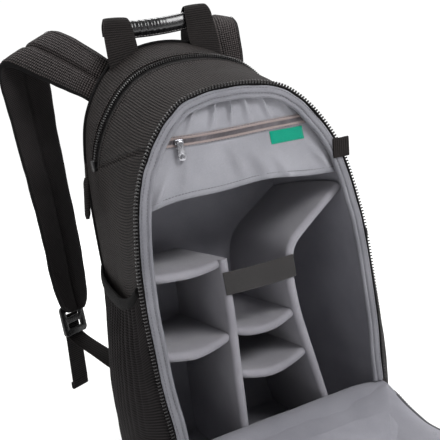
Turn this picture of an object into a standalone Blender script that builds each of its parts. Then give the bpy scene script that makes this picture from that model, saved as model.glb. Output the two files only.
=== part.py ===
"""Camera backpack that stands on its base with its front panel let down onto the floor.

Metres, +Z up. The origin is the middle of the base's underside. The front faces -Y and the
wearer's back is at +Y.
"""

import math

import bmesh
import bpy
from mathutils import Vector

for old in list(bpy.data.objects):
    bpy.data.objects.remove(old, do_unlink=True)

# Clearance between two sewn pieces
GAP = 0.0003

# Body
BODY_DEPTH = 0.156
HINGE_HEIGHT = 0.045
RIM_HEIGHT = 0.346
RIM_HALF_WIDTH = 0.128
BACK_HEIGHT = 0.456
BACK_HALF_WIDTH = 0.116
SIDE_SWELL = 0.006
SHELL_WALL = 0.002
LINING_WALL = 0.006
BACK_PANEL_DEPTH = 0.011
BACK_PANEL_SOFT_EDGE = 0.010

# Opening edge
ZIP_TAPE_DEPTH = 0.0009
TEETH_HALF_WIDTH = 0.0015
TEETH_DEPTH = 0.0028
RIM_TAPE_WIDTH = 0.0052
BINDING_WIDTH = 0.0065
BINDING_DEPTH = 0.003

# Rear zip over the crown
CROWN_ZIP_FROM_REAR = 0.048
CROWN_ZIP_LEAN = 0.016
CROWN_ZIP_HALF_WIDTH = 0.0055
CROWN_ZIP_DEPTH = 0.0024
CROWN_ZIP_END_DROP = 0.121
SLIDER_LENGTH = 0.011
SLIDER_WIDTH = 0.008
SLIDER_DEPTH = 0.0035
CORD_PULL_LENGTH = 0.046
CORD_PULL_WIDTH = 0.0055
CORD_PULL_DEPTH = 0.0028

# Dividers
DIVIDER_THICKNESS = 0.009
DIVIDER_SETBACK = 0.012
DIVIDER_ROUND = 0.004
CROSS_DIVIDER_SETBACK = 0.004

# Upper pocket panel
PANEL_SETBACK = 0.006
PANEL_THICKNESS = 0.0015
PANEL_EDGE_DROP = 0.105
PANEL_ARCH = 0.010
POCKET_ZIP_DROP = 0.045
POCKET_ZIP_WIDTH = 0.009
POCKET_ZIP_DEPTH = 0.0012
LABEL_X = 0.0545
LABEL_LENGTH = 0.038
LABEL_HEIGHT = 0.013
LABEL_DEPTH = 0.0008

# Metal slider and pull of the pocket zip
PULL_SLIDER_X = -0.062
PULL_SLIDER_LENGTH = 0.009
PULL_SLIDER_HEIGHT = 0.006
PULL_SLIDER_DEPTH = 0.0025
PULL_EAR_WIDTH = 0.0012
PULL_WIDTH = 0.0045
PULL_LENGTH = 0.014
PULL_THICKNESS = 0.0014
PULL_RUNNING_GAP = 0.0004

# Hook and loop strap over the middle column
HOOK_STRAP_DROP = 0.189
HOOK_STRAP_WIDTH = 0.023
HOOK_STRAP_THICKNESS = 0.0016

# Tab at the right of the opening
EDGE_TAB_DROP = 0.079
EDGE_TAB_LENGTH = 0.020
EDGE_TAB_REACH = 0.012
EDGE_TAB_THICKNESS = 0.0018

# Side pockets
POCKET_FIRST_ROW = 3
POCKET_LAST_ROW = 8
POCKET_WALL = 0.0015
POCKET_BULGE = 0.022
POCKET_SEAM_GAP = 0.0006
POCKET_FULLNESS = 0.7
POCKET_FRONT_SETBACK = 0.002
POCKET_REAR_SETBACK = 0.008
BAND_START_SHARE = 0.95
BAND_THICKNESS = 0.0014

# Top handle
HANDLE_X = 0.0495
HANDLE_WEBBING_WIDTH = 0.037
HANDLE_WEBBING_THICKNESS = 0.002
HANDLE_FROM_REAR = 0.008
HANDLE_RISE = 0.034
HANDLE_LEAN = 0.004
GRIP_HALF_LENGTH = 0.060
GRIP_HEIGHT = 0.017
GRIP_DEPTH = 0.010
GRIP_SAG = 0.004

# Shoulder straps
STRAP_ATTACH_X = 0.078
STRAP_ATTACH_DROP = 0.028
STRAP_WIDTH = 0.066
STRAP_PAD = 0.011
STRAP_STANDOFF = 0.072
STRAP_ROOT_RUN = 0.036
STRAP_RISE = 0.048
STRAP_DROP = 0.258
LEFT_STRAP_SPLAY = 0.060
RIGHT_STRAP_SPLAY = 0.024
LOCK_WIDTH = 0.034
LOCK_LENGTH = 0.034
LOCK_THICKNESS = 0.004
LOCK_BAR = 0.005
LOWER_WEBBING_WIDTH = 0.024
LOWER_WEBBING_THICKNESS = 0.0016
TAIL_LENGTH = 0.062
WEBBING_SAG = 0.004
TAIL_KICK = 0.007
ANCHOR_HEIGHT = 0.076
ANCHOR_INSET = 0.030
ANCHOR_RUN = 0.012
ANCHOR_LENGTH = 0.030
ANCHOR_THICKNESS = 0.003

# Front panel let down as a flap
FLAP_WALL = 0.002
FLAP_LINING_EDGE = 0.0035
FLAP_CROWN = 0.016
FLAP_FOOT_INSET = 0.008
FLAP_TEETH_WIDTH = 0.003
FLAP_TEETH_HEIGHT = 0.0026

# Half outline from the bottom middle to the top middle.
# rim width share, rim height share, back width share, back height share
OUTLINE = (
    (0.000, 0.000, 0.000, 0.000),
    (0.420, 0.000, 0.380, 0.000),
    (0.780, 0.000, 0.700, 0.000),
    (0.950, 0.004, 0.860, 0.028),
    (0.962, 0.030, 0.905, 0.058),
    (0.968, 0.080, 0.945, 0.090),
    (0.992, 0.200, 0.985, 0.190),
    (1.000, 0.370, 1.000, 0.340),
    (0.990, 0.520, 1.000, 0.500),
    (0.960, 0.615, 0.990, 0.620),
    (0.910, 0.717, 0.970, 0.715),
    (0.850, 0.786, 0.935, 0.785),
    (0.780, 0.838, 0.880, 0.840),
    (0.680, 0.893, 0.780, 0.890),
    (0.555, 0.942, 0.640, 0.937),
    (0.410, 0.977, 0.470, 0.971),
    (0.210, 0.995, 0.240, 0.993),
    (0.000, 1.000, 0.000, 1.000),
)

# depth share, base drop share, side swell share
DEPTH_SECTIONS = (
    (0.00, 0.00, 0.00),
    (0.05, 0.42, 0.35),
    (0.14, 0.80, 0.75),
    (0.27, 1.00, 1.00),
    (0.50, 1.00, 1.00),
    (0.75, 1.00, 0.75),
    (0.92, 1.00, 0.30),
    (1.00, 0.82, 0.00),
)

# height shares and width shares of the pocket panel's grid
PANEL_ROWS = (0.0, 0.2, 0.4, 0.6, 0.76, 0.88, 0.95, 0.985)
PANEL_COLUMNS = (-1.0, -0.66, -0.33, 0.0, 0.33, 0.66, 1.0)

# distance along the flap share, edge height share of the hinge height
FLAP_EDGE = (
    (0.00, 1.03),
    (0.05, 0.84),
    (0.12, 0.52),
    (0.20, 0.28),
    (0.32, 0.22),
    (1.00, 0.22),
)

# height share, bulge share
POCKET_PROFILE = (
    (0.00, 0.10),
    (0.12, 0.50),
    (0.25, 0.84),
    (0.45, 1.00),
    (0.65, 0.86),
    (0.85, 0.56),
    (0.95, 0.47),
    (1.00, 0.45),
)

# out share of the splay, back share of the standoff, rise share, drop share, width share,
# lean of the width from level in degrees, turn of the width towards the rear in degrees
LEFT_STRAP_RISE = (
    (0.00, 0.00, 0.00, 0.00, 0.80, 52, 0),
    (0.26, 0.34, 0.38, 0.00, 0.88, 44, 0),
    (0.56, 0.68, 0.78, 0.00, 0.96, 36, 0),
    (0.80, 0.92, 1.00, 0.00, 1.00, 28, 4),
)
RIGHT_STRAP_RISE = (
    (0.00, 0.00, 0.00, 0.00, 0.86, 16, 0),
    (0.16, 0.12, 0.66, 0.00, 0.94, 14, 0),
    (0.40, 0.34, 1.06, 0.00, 1.00, 12, 0),
    (0.76, 0.76, 1.20, 0.00, 1.00, 12, 4),
)
STRAP_FALL = (
    (0.92, 1.10, 0.86, 0.00, 1.00, 20, 10),
    (0.96, 1.20, 0.30, 0.00, 0.98, 12, 18),
    (0.97, 1.20, 0.00, 0.14, 0.94, 6, 26),
    (0.97, 1.12, 0.00, 0.40, 0.88, 2, 30),
    (1.00, 0.98, 0.00, 0.66, 0.84, 0, 32),
    (1.05, 0.84, 0.00, 0.86, 0.78, 0, 32),
    (1.06, 0.78, 0.00, 0.96, 0.62, 0, 32),
    (1.06, 0.76, 0.00, 1.00, 0.34, 0, 32),
)

# across share of the width, thickness share, for one turn round the pad's section
PAD_SECTION = (
    (-0.50, -0.16),
    (-0.50, 0.18),
    (-0.30, 0.50),
    (0.00, 0.38),
    (0.30, 0.50),
    (0.50, 0.18),
    (0.50, -0.16),
    (0.24, -0.50),
    (-0.24, -0.50),
)

# x share of the rim's half width, height share of the rim's top: the right long divider from
# its foot to where it meets the wall
RIGHT_DIVIDER_SHARES = (
    (0.492, 0.000),
    (0.297, 0.384),
    (0.281, 0.499),
    (0.328, 0.573),
    (0.516, 0.616),
    (0.719, 0.660),
)

# the same shares for the left long divider
LEFT_DIVIDER_SHARES = (
    (-0.359, 0.000),
    (-0.312, 0.281),
    (-0.281, 0.422),
    (-0.266, 0.578),
)

# name, column, height share of the rim's top at its left end and at its right end, sag share
# of the divider's thickness
CROSS_DIVIDERS = (
    ("left_upper_divider", "left", 0.578, 0.568, 0.33),
    ("left_lower_divider", "left", 0.386, 0.376, 0.67),
    ("middle_upper_divider", "middle", 0.386, 0.389, 0.56),
    ("middle_lower_divider", "middle", 0.271, 0.276, 0.67),
)

RIM_TOP = HINGE_HEIGHT + RIM_HEIGHT
PANEL_EDGE_HEIGHT = RIM_TOP - PANEL_EDGE_DROP
POCKET_ZIP_HEIGHT = RIM_TOP - POCKET_ZIP_DROP
HOOK_STRAP_HEIGHT = RIM_TOP - HOOK_STRAP_DROP
EDGE_TAB_HEIGHT = RIM_TOP - EDGE_TAB_DROP
CROWN_ZIP_END_HEIGHT = BACK_HEIGHT - CROWN_ZIP_END_DROP
HANDLE_TOP = BACK_HEIGHT + HANDLE_RISE
STRAP_ATTACH_HEIGHT = BACK_HEIGHT - STRAP_ATTACH_DROP
FRONT_Y = -BODY_DEPTH / 2
REAR_Y = BODY_DEPTH / 2
HALF_ROWS = len(OUTLINE) - 1
RING_COUNT = 2 * HALF_ROWS
LINING_OUTER = SHELL_WALL + GAP
LINING_INNER = LINING_OUTER + LINING_WALL
LINING_BACK_Y = REAR_Y - LINING_WALL
CROWN_ZIP_Y = REAR_Y - CROWN_ZIP_FROM_REAR
POCKET_FRONT_Y = FRONT_Y + POCKET_FRONT_SETBACK
POCKET_REAR_Y = REAR_Y - POCKET_REAR_SETBACK
HANDLE_Y = REAR_Y - HANDLE_FROM_REAR
SECTION_YS = [FRONT_Y + BODY_DEPTH * row[0] for row in DEPTH_SECTIONS]


def divider_path(shares):
    return [(RIM_HALF_WIDTH * x, RIM_TOP * z) for x, z in shares]


RIGHT_DIVIDER_PATH = divider_path(RIGHT_DIVIDER_SHARES)
LEFT_DIVIDER_PATH = divider_path(LEFT_DIVIDER_SHARES)


def material(name, colour, roughness, metallic=0.0):
    made = bpy.data.materials.new(name)
    made.use_nodes = True
    shader = made.node_tree.nodes["Principled BSDF"]
    shader.inputs["Base Color"].default_value = (*colour, 1.0)
    shader.inputs["Roughness"].default_value = roughness
    shader.inputs["Metallic"].default_value = metallic
    made.diffuse_color = (*colour, 1.0)
    return made


BALLISTIC = material("ballistic_fabric", (0.020, 0.019, 0.020), 0.75)
PLAIN_BLACK = material("plain_black_fabric", (0.016, 0.015, 0.016), 0.8)
MESH_FABRIC = material("mesh_fabric", (0.017, 0.015, 0.018), 0.6)
WEBBING = material("webbing", (0.018, 0.016, 0.017), 0.7)
GREY_LINING = material("grey_lining", (0.30, 0.30, 0.33), 0.8)
GREY_PAD = material("grey_divider", (0.22, 0.22, 0.24), 0.85)
GREY_BINDING = material("grey_binding", (0.24, 0.24, 0.27), 0.8)
ZIP_COIL = material("zip_coil", (0.03, 0.03, 0.03), 0.4)
ZIP_TAPE = material("pocket_zip_tape", (0.36, 0.29, 0.28), 0.7)
METAL = material("zip_metal", (0.45, 0.45, 0.46), 0.35, 1.0)
LEATHER = material("grip_leather", (0.02, 0.02, 0.022), 0.35)
PLASTIC = material("black_plastic", (0.02, 0.02, 0.02), 0.4)
LABEL = material("label_fabric", (0.0, 0.36, 0.21), 0.6)


def make_object(name, mesh_builder, finish):
    """Closes the mesh that mesh_builder fills and turns its faces outwards."""
    bm = bmesh.new()
    mesh_builder(bm)
    bmesh.ops.recalc_face_normals(bm, faces=bm.faces)
    mesh = bpy.data.meshes.new(name)
    bm.to_mesh(mesh)
    bm.free()
    mesh.materials.append(finish)
    mesh.shade_smooth()
    mesh.set_sharp_from_angle(angle=math.radians(40))
    made = bpy.data.objects.new(name, mesh)
    bpy.context.scene.collection.objects.link(made)
    return made


def add_ring(bm, points):
    return [bm.verts.new(point) for point in points]


def bridge(bm, first, second):
    count = len(first)
    for i in range(count):
        j = (i + 1) % count
        bm.faces.new((first[i], first[j], second[j], second[i]))


def rung_cap(bm, ring):
    """Closes a ring that is the same on both sides with rungs from side to side."""
    count = len(ring)
    half = count // 2
    for i in range(half):
        corners = [ring[i], ring[i + 1], ring[-(i + 1)], ring[-i] if i else ring[0]]
        kept = list(dict.fromkeys(corners))
        if len(kept) > 2:
            bm.faces.new(kept)


def flat_cap(bm, ring):
    bm.faces.new(ring)


def loft(name, rings, finish, cap=flat_cap, closed=False):
    """A solid through the rings, capped at both ends or closed on itself."""

    def build(bm):
        made = [add_ring(bm, ring) for ring in rings]
        for first, second in zip(made, made[1:]):
            bridge(bm, first, second)
        if closed:
            bridge(bm, made[-1], made[0])
        else:
            cap(bm, made[0])
            cap(bm, made[-1])

    return make_object(name, build, finish)


def sheet(name, inner, outer, finish):
    """A closed sheet between two grids of points of the same size."""

    def build(bm):
        sides = [[add_ring(bm, row) for row in grid] for grid in (inner, outer)]
        rows, columns = len(inner), len(inner[0])
        for grid in sides:
            for r in range(rows - 1):
                for c in range(columns - 1):
                    bm.faces.new((grid[r][c], grid[r][c + 1], grid[r + 1][c + 1], grid[r + 1][c]))
        low, high = sides
        for r in range(rows - 1):
            for c in (0, columns - 1):
                bm.faces.new((low[r][c], low[r + 1][c], high[r + 1][c], high[r][c]))
        for c in range(columns - 1):
            for r in (0, rows - 1):
                bm.faces.new((low[r][c], low[r][c + 1], high[r][c + 1], high[r][c]))

    return make_object(name, build, finish)


def table_value(table, where, column=1):
    """The table's column at a value of its first column, on straight lines between rows."""
    for low, high in zip(table, table[1:]):
        if where <= high[0]:
            share = (where - low[0]) / (high[0] - low[0])
            return low[column] + (high[column] - low[column]) * share
    return table[-1][column]


def mirrored(half):
    """A whole ring from its left half, bottom middle first."""
    left = [(-x, z) for x, z in half]
    right = [(x, z) for x, z in half[1:-1]]
    return left + right[::-1]


def inset_ring(ring, distance):
    """The ring moved inwards in its own plane by the distance, square to its sides."""
    moved = []
    count = len(ring)
    for i, (x, z) in enumerate(ring):
        before = Vector(ring[i]) - Vector(ring[i - 1])
        after = Vector(ring[(i + 1) % count]) - Vector(ring[i])
        normal_before = Vector((before.y, -before.x)).normalized()
        normal_after = Vector((after.y, -after.x)).normalized()
        middle = (normal_before + normal_after).normalized()
        reach = distance / max(middle.dot(normal_after), 0.5)
        moved.append((x + middle.x * reach, z + middle.y * reach))
    return moved


def section_outline(row):
    """The body's outer outline, as x and z, at one row of DEPTH_SECTIONS."""
    depth, drop, swell = row
    bottom = HINGE_HEIGHT * (1 - drop)
    top = (HINGE_HEIGHT + RIM_HEIGHT) * (1 - depth) + BACK_HEIGHT * depth
    half_width = RIM_HALF_WIDTH * (1 - depth) + BACK_HALF_WIDTH * depth + SIDE_SWELL * swell
    half = []
    for rim_x, rim_z, back_x, back_z in OUTLINE:
        x = rim_x * (1 - depth) + back_x * depth
        z = rim_z * (1 - depth) + back_z * depth
        half.append((half_width * x, bottom + (top - bottom) * z))
    return mirrored(half)


SECTION_OUTLINES = [section_outline(row) for row in DEPTH_SECTIONS]


def ring_at(y, inset):
    """The body's outline at a depth, inset from its outer face, as x and z."""
    index = 0
    while index < len(SECTION_YS) - 2 and y > SECTION_YS[index + 1]:
        index += 1
    low, high = SECTION_YS[index], SECTION_YS[index + 1]
    share = (y - low) / (high - low)
    first = inset_ring(SECTION_OUTLINES[index], inset)
    second = inset_ring(SECTION_OUTLINES[index + 1], inset)
    return [
        (a[0] + (b[0] - a[0]) * share, a[1] + (b[1] - a[1]) * share)
        for a, b in zip(first, second)
    ]


def in_space(ring, y):
    return [Vector((x, y, z)) for x, z in ring]


def body_ring(y, inset):
    return in_space(ring_at(y, inset), y)


def wall_x(y, z, inset):
    """How far the body's side reaches from the middle at a depth and a height."""
    half = ring_at(y, inset)[: HALF_ROWS + 1]
    for low, high in zip(half, half[1:]):
        if low[1] <= z <= high[1] and high[1] > low[1]:
            share = (z - low[1]) / (high[1] - low[1])
            return -(low[0] + (high[0] - low[0]) * share)
    return -max(half[0][0], half[-1][0])


def crown_z(y, x, inset):
    """The height of the body's upper face at a depth and a distance from the middle."""
    half = ring_at(y, inset)[: HALF_ROWS + 1][::-1]
    for low, high in zip(half, half[1:]):
        if -low[0] <= abs(x) <= -high[0]:
            share = (abs(x) + low[0]) / (low[0] - high[0])
            return low[1] + (high[1] - low[1]) * share
    return half[0][1]


def floor_z(y, inset):
    return ring_at(y, inset)[0][1]


def make_body():
    tube = [body_ring(y, 0.0) for y in SECTION_YS]
    tube += [body_ring(y, SHELL_WALL) for y in reversed(SECTION_YS)]
    loft("outer_shell", tube, BALLISTIC, closed=True)

    inner_ys = [y for y in SECTION_YS if y < LINING_BACK_Y] + [LINING_BACK_Y]
    cup = [body_ring(y, LINING_OUTER) for y in reversed(SECTION_YS)]
    cup += [body_ring(y, LINING_INNER) for y in inner_ys]
    loft("padded_lining", cup, GREY_LINING, cap=rung_cap)

    near = REAR_Y + GAP
    far = near + BACK_PANEL_DEPTH
    outline = SECTION_OUTLINES[-1]
    slab = [
        in_space(outline, near),
        in_space(outline, near + BACK_PANEL_DEPTH / 2),
        in_space(inset_ring(outline, BACK_PANEL_SOFT_EDGE / 2), far - BACK_PANEL_DEPTH / 8),
        in_space(inset_ring(outline, BACK_PANEL_SOFT_EDGE), far),
    ]
    loft("back_panel", slab, MESH_FABRIC, cap=rung_cap)


def strip_along_ring(name, finish, y_at, profile, first, last, lean=0.0):
    """A strip that follows the body's outline between two of its points.

    profile gives, for one turn round the strip's section, how far it lies in from the body's
    outer face and how far it lies to the rear of y_at. Its middle is forward of y_at by the lean.
    """
    rings = []
    for index in range(first, last + 1):
        rise = math.sin(math.pi * (index - first) / (last - first))
        y = y_at - lean * rise
        rings.append([body_ring_point(index, y, inset, rear) for inset, rear in profile])
    return loft(name, rings, finish)


def body_ring_point(index, y_at, inset, rear):
    y = y_at + rear
    x, z = ring_at(max(y, FRONT_Y), inset)[index]
    return Vector((x, y, z))


def make_opening_edge():
    seat = FRONT_Y - GAP
    first, last = 4, RING_COUNT - 4
    teeth = (
        (-TEETH_HALF_WIDTH, 0.0),
        (-TEETH_HALF_WIDTH, -TEETH_DEPTH * 0.6),
        (0.0, -TEETH_DEPTH),
        (TEETH_HALF_WIDTH, -TEETH_DEPTH * 0.6),
        (TEETH_HALF_WIDTH, 0.0),
    )
    strip_along_ring("opening_zip_teeth", ZIP_COIL, seat, teeth, first, last)
    tape_start = TEETH_HALF_WIDTH + GAP
    tape_end = tape_start + RIM_TAPE_WIDTH
    tape = (
        (tape_start, 0.0),
        (tape_start, -ZIP_TAPE_DEPTH),
        (tape_end, -ZIP_TAPE_DEPTH),
        (tape_end, 0.0),
    )
    strip_along_ring("opening_zip_tape", PLAIN_BLACK, seat, tape, first, last)
    start = tape_end + GAP
    end = start + BINDING_WIDTH
    binding = (
        (start, 0.0),
        (start, -BINDING_DEPTH * 0.6),
        (start + BINDING_WIDTH * 0.3, -BINDING_DEPTH),
        (end - BINDING_WIDTH * 0.3, -BINDING_DEPTH),
        (end, -BINDING_DEPTH * 0.5),
        (end, 0.0),
    )
    strip_along_ring("opening_binding", GREY_BINDING, seat, binding, first, last)


def ring_index_above(y, height):
    ring = ring_at(y, 0.0)
    return next(i for i in range(HALF_ROWS) if ring[i][1] > height)


def box_rings(centre, along, across, out, length, width, depth, chamfer):
    """Rings of a chamfered block whose base lies on centre and which rises along out."""
    rings = []
    for height, shrink in ((0.0, 0.0), (depth - chamfer, 0.0), (depth, chamfer)):
        a = along * (length / 2 - shrink)
        b = across * (width / 2 - shrink)
        base = centre + out * height
        rings.append([base - a - b, base + a - b, base + a + b, base - a + b])
    return rings


def make_crown_zip():
    """The rear compartment's zip, closed, with a slider and a cord pull at each end."""
    half = CROWN_ZIP_HALF_WIDTH
    profile = (
        (-GAP * 2, -half),
        (-GAP * 2 - CROWN_ZIP_DEPTH * 0.4, -half),
        (-GAP * 2 - CROWN_ZIP_DEPTH, -half * 0.3),
        (-GAP * 2 - CROWN_ZIP_DEPTH, half * 0.3),
        (-GAP * 2 - CROWN_ZIP_DEPTH * 0.4, half),
        (-GAP * 2, half),
    )
    first = ring_index_above(CROWN_ZIP_Y, CROWN_ZIP_END_HEIGHT)
    last = RING_COUNT - first
    strip_along_ring("crown_zip", ZIP_COIL, CROWN_ZIP_Y, profile, first, last, CROWN_ZIP_LEAN)
    end_height = ring_at(CROWN_ZIP_Y, 0.0)[first][1]
    for side, sign in (("left", -1), ("right", 1)):
        slider_height = end_height - GAP * 4 - SLIDER_LENGTH / 2
        seat_x = max(
            wall_x(CROWN_ZIP_Y, slider_height + step * SLIDER_LENGTH / 2, 0.0) for step in (-1, 1)
        )
        out = Vector((sign, 0, 0))
        up = Vector((0, 0, 1))
        deep = Vector((0, 1, 0))
        seat = Vector((sign * (seat_x + GAP), CROWN_ZIP_Y, slider_height))
        slider = box_rings(seat, up, deep, out, SLIDER_LENGTH, SLIDER_WIDTH, SLIDER_DEPTH, 0.001)
        loft("crown_slider_" + side, slider, PLASTIC)
        pull_seat = seat - up * (SLIDER_LENGTH / 2 + GAP + CORD_PULL_LENGTH / 2)
        pull_seat.x = sign * (GAP + max(
            wall_x(CROWN_ZIP_Y, pull_seat.z + step * CORD_PULL_LENGTH / 2, 0.0) for step in (-1, 0, 1)
        ))
        pull = box_rings(
            pull_seat, up, deep, out, CORD_PULL_LENGTH, CORD_PULL_WIDTH, CORD_PULL_DEPTH, 0.001
        )
        loft("crown_pull_" + side, pull, PLAIN_BLACK)


def divider_stations(front):
    """Depths of a divider's sections and the share of its thickness at each."""
    back = LINING_BACK_Y - GAP
    stations = [(front, 0.35), (front + DIVIDER_ROUND * 0.35, 0.8), (front + DIVIDER_ROUND, 1.0)]
    stations += [(y, 1.0) for y in SECTION_YS if front + DIVIDER_ROUND * 2 < y < back]
    return stations + [(back, 1.0)]


def path_x(path, z):
    """The path's x at a height, for the stretch that rises."""
    rows = [(point[1], point[0]) for point in path]
    return table_value(rows, max(z, rows[0][0]))


def long_divider_ring(path, y, share, meets_wall):
    """The section of a long divider: up one face and down the other."""
    half = DIVIDER_THICKNESS / 2 * share
    points = [Vector(point) for point in path]
    foot = floor_z(y, LINING_INNER) + GAP * 2
    points[0] = Vector((path_x(path, foot), foot))
    near, far = [], []
    for i, point in enumerate(points):
        before = points[max(i - 1, 0)]
        after = points[min(i + 1, len(points) - 1)]
        along = (after - before).normalized()
        normal = Vector((-along.y, along.x))
        near.append(point + normal * half)
        far.append(point - normal * half)
    near[0].y = far[0].y = foot
    if meets_wall:
        along = (points[-1] - points[-2]).normalized()
        for face in (near, far):
            end = face[-1].copy()
            for _ in range(12):
                reach = wall_x(y, end.y, LINING_INNER) - GAP * 2 - end.x
                end += along * reach
            face.append(end)
    return [Vector((p.x, y, p.y)) for p in near + far[::-1]]


def make_long_divider(name, path, front, meets_wall):
    rings = [
        long_divider_ring(path, y, share, meets_wall) for y, share in divider_stations(front)
    ]
    loft(name, rings, GREY_PAD)


def column_ends(column, y, z):
    """Where a cross divider of the column starts and ends at a depth and a height."""
    reach = DIVIDER_THICKNESS / 2 + GAP * 2
    if column == "left":
        return -wall_x(y, z, LINING_INNER) + GAP * 2, path_x(LEFT_DIVIDER_PATH, z) - reach
    if column == "middle":
        return path_x(LEFT_DIVIDER_PATH, z) + reach, path_x(RIGHT_DIVIDER_PATH, z) - reach
    wall = wall_x(y, z, LINING_INNER) - GAP * 2
    return -wall, wall


def make_cross_divider(name, column, z_left, z_right, sag, front):
    steps = 4
    rings = []
    for y, share in divider_stations(front):
        half = DIVIDER_THICKNESS / 2 * share
        upper, lower = [], []
        for step in range(steps + 1):
            u = step / steps
            middle = z_left + (z_right - z_left) * u - sag * 4 * u * (1 - u)
            for row, z in ((upper, middle + half), (lower, middle - half)):
                start, end = column_ends(column, y, z)
                row.append(Vector((start + (end - start) * u, y, z)))
        rings.append(upper + lower[::-1])
    loft(name, rings, GREY_PAD)


def make_dividers():
    front = FRONT_Y + DIVIDER_SETBACK
    make_long_divider("left_long_divider", LEFT_DIVIDER_PATH, front, False)
    make_long_divider("right_long_divider", RIGHT_DIVIDER_PATH, front, True)
    for name, column, left, right, sag in CROSS_DIVIDERS:
        make_cross_divider(
            name, column, RIM_TOP * left, RIM_TOP * right, DIVIDER_THICKNESS * sag,
            front + CROSS_DIVIDER_SETBACK,
        )
    shelf_front = FRONT_Y + PANEL_SETBACK + PANEL_THICKNESS + GAP
    middle = PANEL_EDGE_HEIGHT + DIVIDER_THICKNESS / 2
    make_cross_divider("upper_shelf", "whole", middle, middle, -PANEL_ARCH, shelf_front)
    strap_y = front - GAP - HOOK_STRAP_THICKNESS
    half = HOOK_STRAP_WIDTH / 2
    left_x = path_x(LEFT_DIVIDER_PATH, HOOK_STRAP_HEIGHT) - DIVIDER_THICKNESS * 0.4
    right_x = path_x(RIGHT_DIVIDER_PATH, HOOK_STRAP_HEIGHT) + DIVIDER_THICKNESS * 0.4
    rings = [
        [
            Vector((left_x, y, HOOK_STRAP_HEIGHT - half)),
            Vector((right_x, y, HOOK_STRAP_HEIGHT - half)),
            Vector((right_x, y, HOOK_STRAP_HEIGHT + half)),
            Vector((left_x, y, HOOK_STRAP_HEIGHT + half)),
        ]
        for y in (strap_y, strap_y + HOOK_STRAP_THICKNESS)
    ]
    loft("hook_loop_strap", rings, WEBBING)


def panel_grid(y):
    """The pocket panel at a depth: rows go up from its arched lower edge to the crown."""
    clearance = LINING_INNER + GAP
    top = crown_z(y, 0.0, clearance)
    grid = []
    for share in PANEL_ROWS:
        row = []
        for u in PANEL_COLUMNS:
            low = PANEL_EDGE_HEIGHT + PANEL_ARCH * (1 - u * u)
            z = low + (top - low) * share
            row.append(Vector((u * wall_x(y, z, clearance), y, z)))
        grid.append(row)
    return grid


def make_upper_pocket():
    near = FRONT_Y + PANEL_SETBACK
    sheet("pocket_panel", panel_grid(near + PANEL_THICKNESS), panel_grid(near), GREY_LINING)

    side = Vector((1, 0, 0))
    up = Vector((0, 0, 1))
    out = Vector((0, -1, 0))
    seat = Vector((0, near - GAP, POCKET_ZIP_HEIGHT))
    tape_reach = wall_x(near - POCKET_ZIP_DEPTH, POCKET_ZIP_HEIGHT + POCKET_ZIP_WIDTH / 2, LINING_INNER)
    tape = box_rings(
        seat, side, up, out, 2 * (tape_reach - 2 * GAP), POCKET_ZIP_WIDTH, POCKET_ZIP_DEPTH, 0.0004
    )
    loft("pocket_zip", tape, ZIP_TAPE)
    label_z = POCKET_ZIP_HEIGHT - POCKET_ZIP_WIDTH / 2 - 0.001 - LABEL_HEIGHT / 2
    label_seat = Vector((LABEL_X, near - GAP, label_z))
    label = box_rings(label_seat, side, up, out, LABEL_LENGTH, LABEL_HEIGHT, LABEL_DEPTH, 0.0002)
    loft("pocket_label", label, LABEL)

    slider_seat = Vector((PULL_SLIDER_X, near - GAP * 2 - POCKET_ZIP_DEPTH, POCKET_ZIP_HEIGHT))
    make_metal_slider(slider_seat)


def block(bm, low, high):
    corners = [
        bm.verts.new((x, y, z))
        for z in (low[2], high[2])
        for y in (low[1], high[1])
        for x in (low[0], high[0])
    ]
    for face in ((0, 1, 3, 2), (4, 5, 7, 6), (0, 1, 5, 4), (2, 3, 7, 6), (0, 2, 6, 4), (1, 3, 7, 5)):
        bm.faces.new([corners[i] for i in face])


def make_metal_slider(seat):
    """The slider has two ears, and the pull's eye turns between them."""
    eye_radius = PULL_THICKNESS / 2
    ear_reach = PULL_RUNNING_GAP + PULL_THICKNESS + 0.0006
    inner = PULL_WIDTH / 2 + PULL_RUNNING_GAP
    outer = inner + PULL_EAR_WIDTH
    base_front = seat.y - PULL_SLIDER_DEPTH
    half_height = PULL_SLIDER_HEIGHT / 2
    profile = (
        (-PULL_SLIDER_LENGTH / 2, seat.y),
        (-PULL_SLIDER_LENGTH / 2, base_front),
        (-outer, base_front),
        (-outer, base_front - ear_reach),
        (-inner, base_front - ear_reach),
        (-inner, base_front),
        (inner, base_front),
        (inner, base_front - ear_reach),
        (outer, base_front - ear_reach),
        (outer, base_front),
        (PULL_SLIDER_LENGTH / 2, base_front),
        (PULL_SLIDER_LENGTH / 2, seat.y),
    )
    rings = [
        [Vector((seat.x + x, y, seat.z + z)) for x, y in profile] for z in (-half_height, half_height)
    ]
    loft("pocket_slider", rings, METAL)

    axis = Vector((seat.x, base_front - PULL_RUNNING_GAP - eye_radius, seat.z))
    half_width = PULL_WIDTH / 2
    sides = []
    for x in (-half_width, half_width):
        ring = []
        for step in range(7):
            angle = math.pi * step / 6
            ring.append(Vector((x, math.cos(angle) * eye_radius, math.sin(angle) * eye_radius)))
        ring.append(Vector((x, -eye_radius, -PULL_LENGTH)))
        ring.append(Vector((x, eye_radius * 0.2, -PULL_LENGTH)))
        ring.append(Vector((x, eye_radius, -PULL_LENGTH + 0.001)))
        sides.append(ring)
    pull = loft("pocket_pull", sides, METAL)
    pull.location = axis


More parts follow.
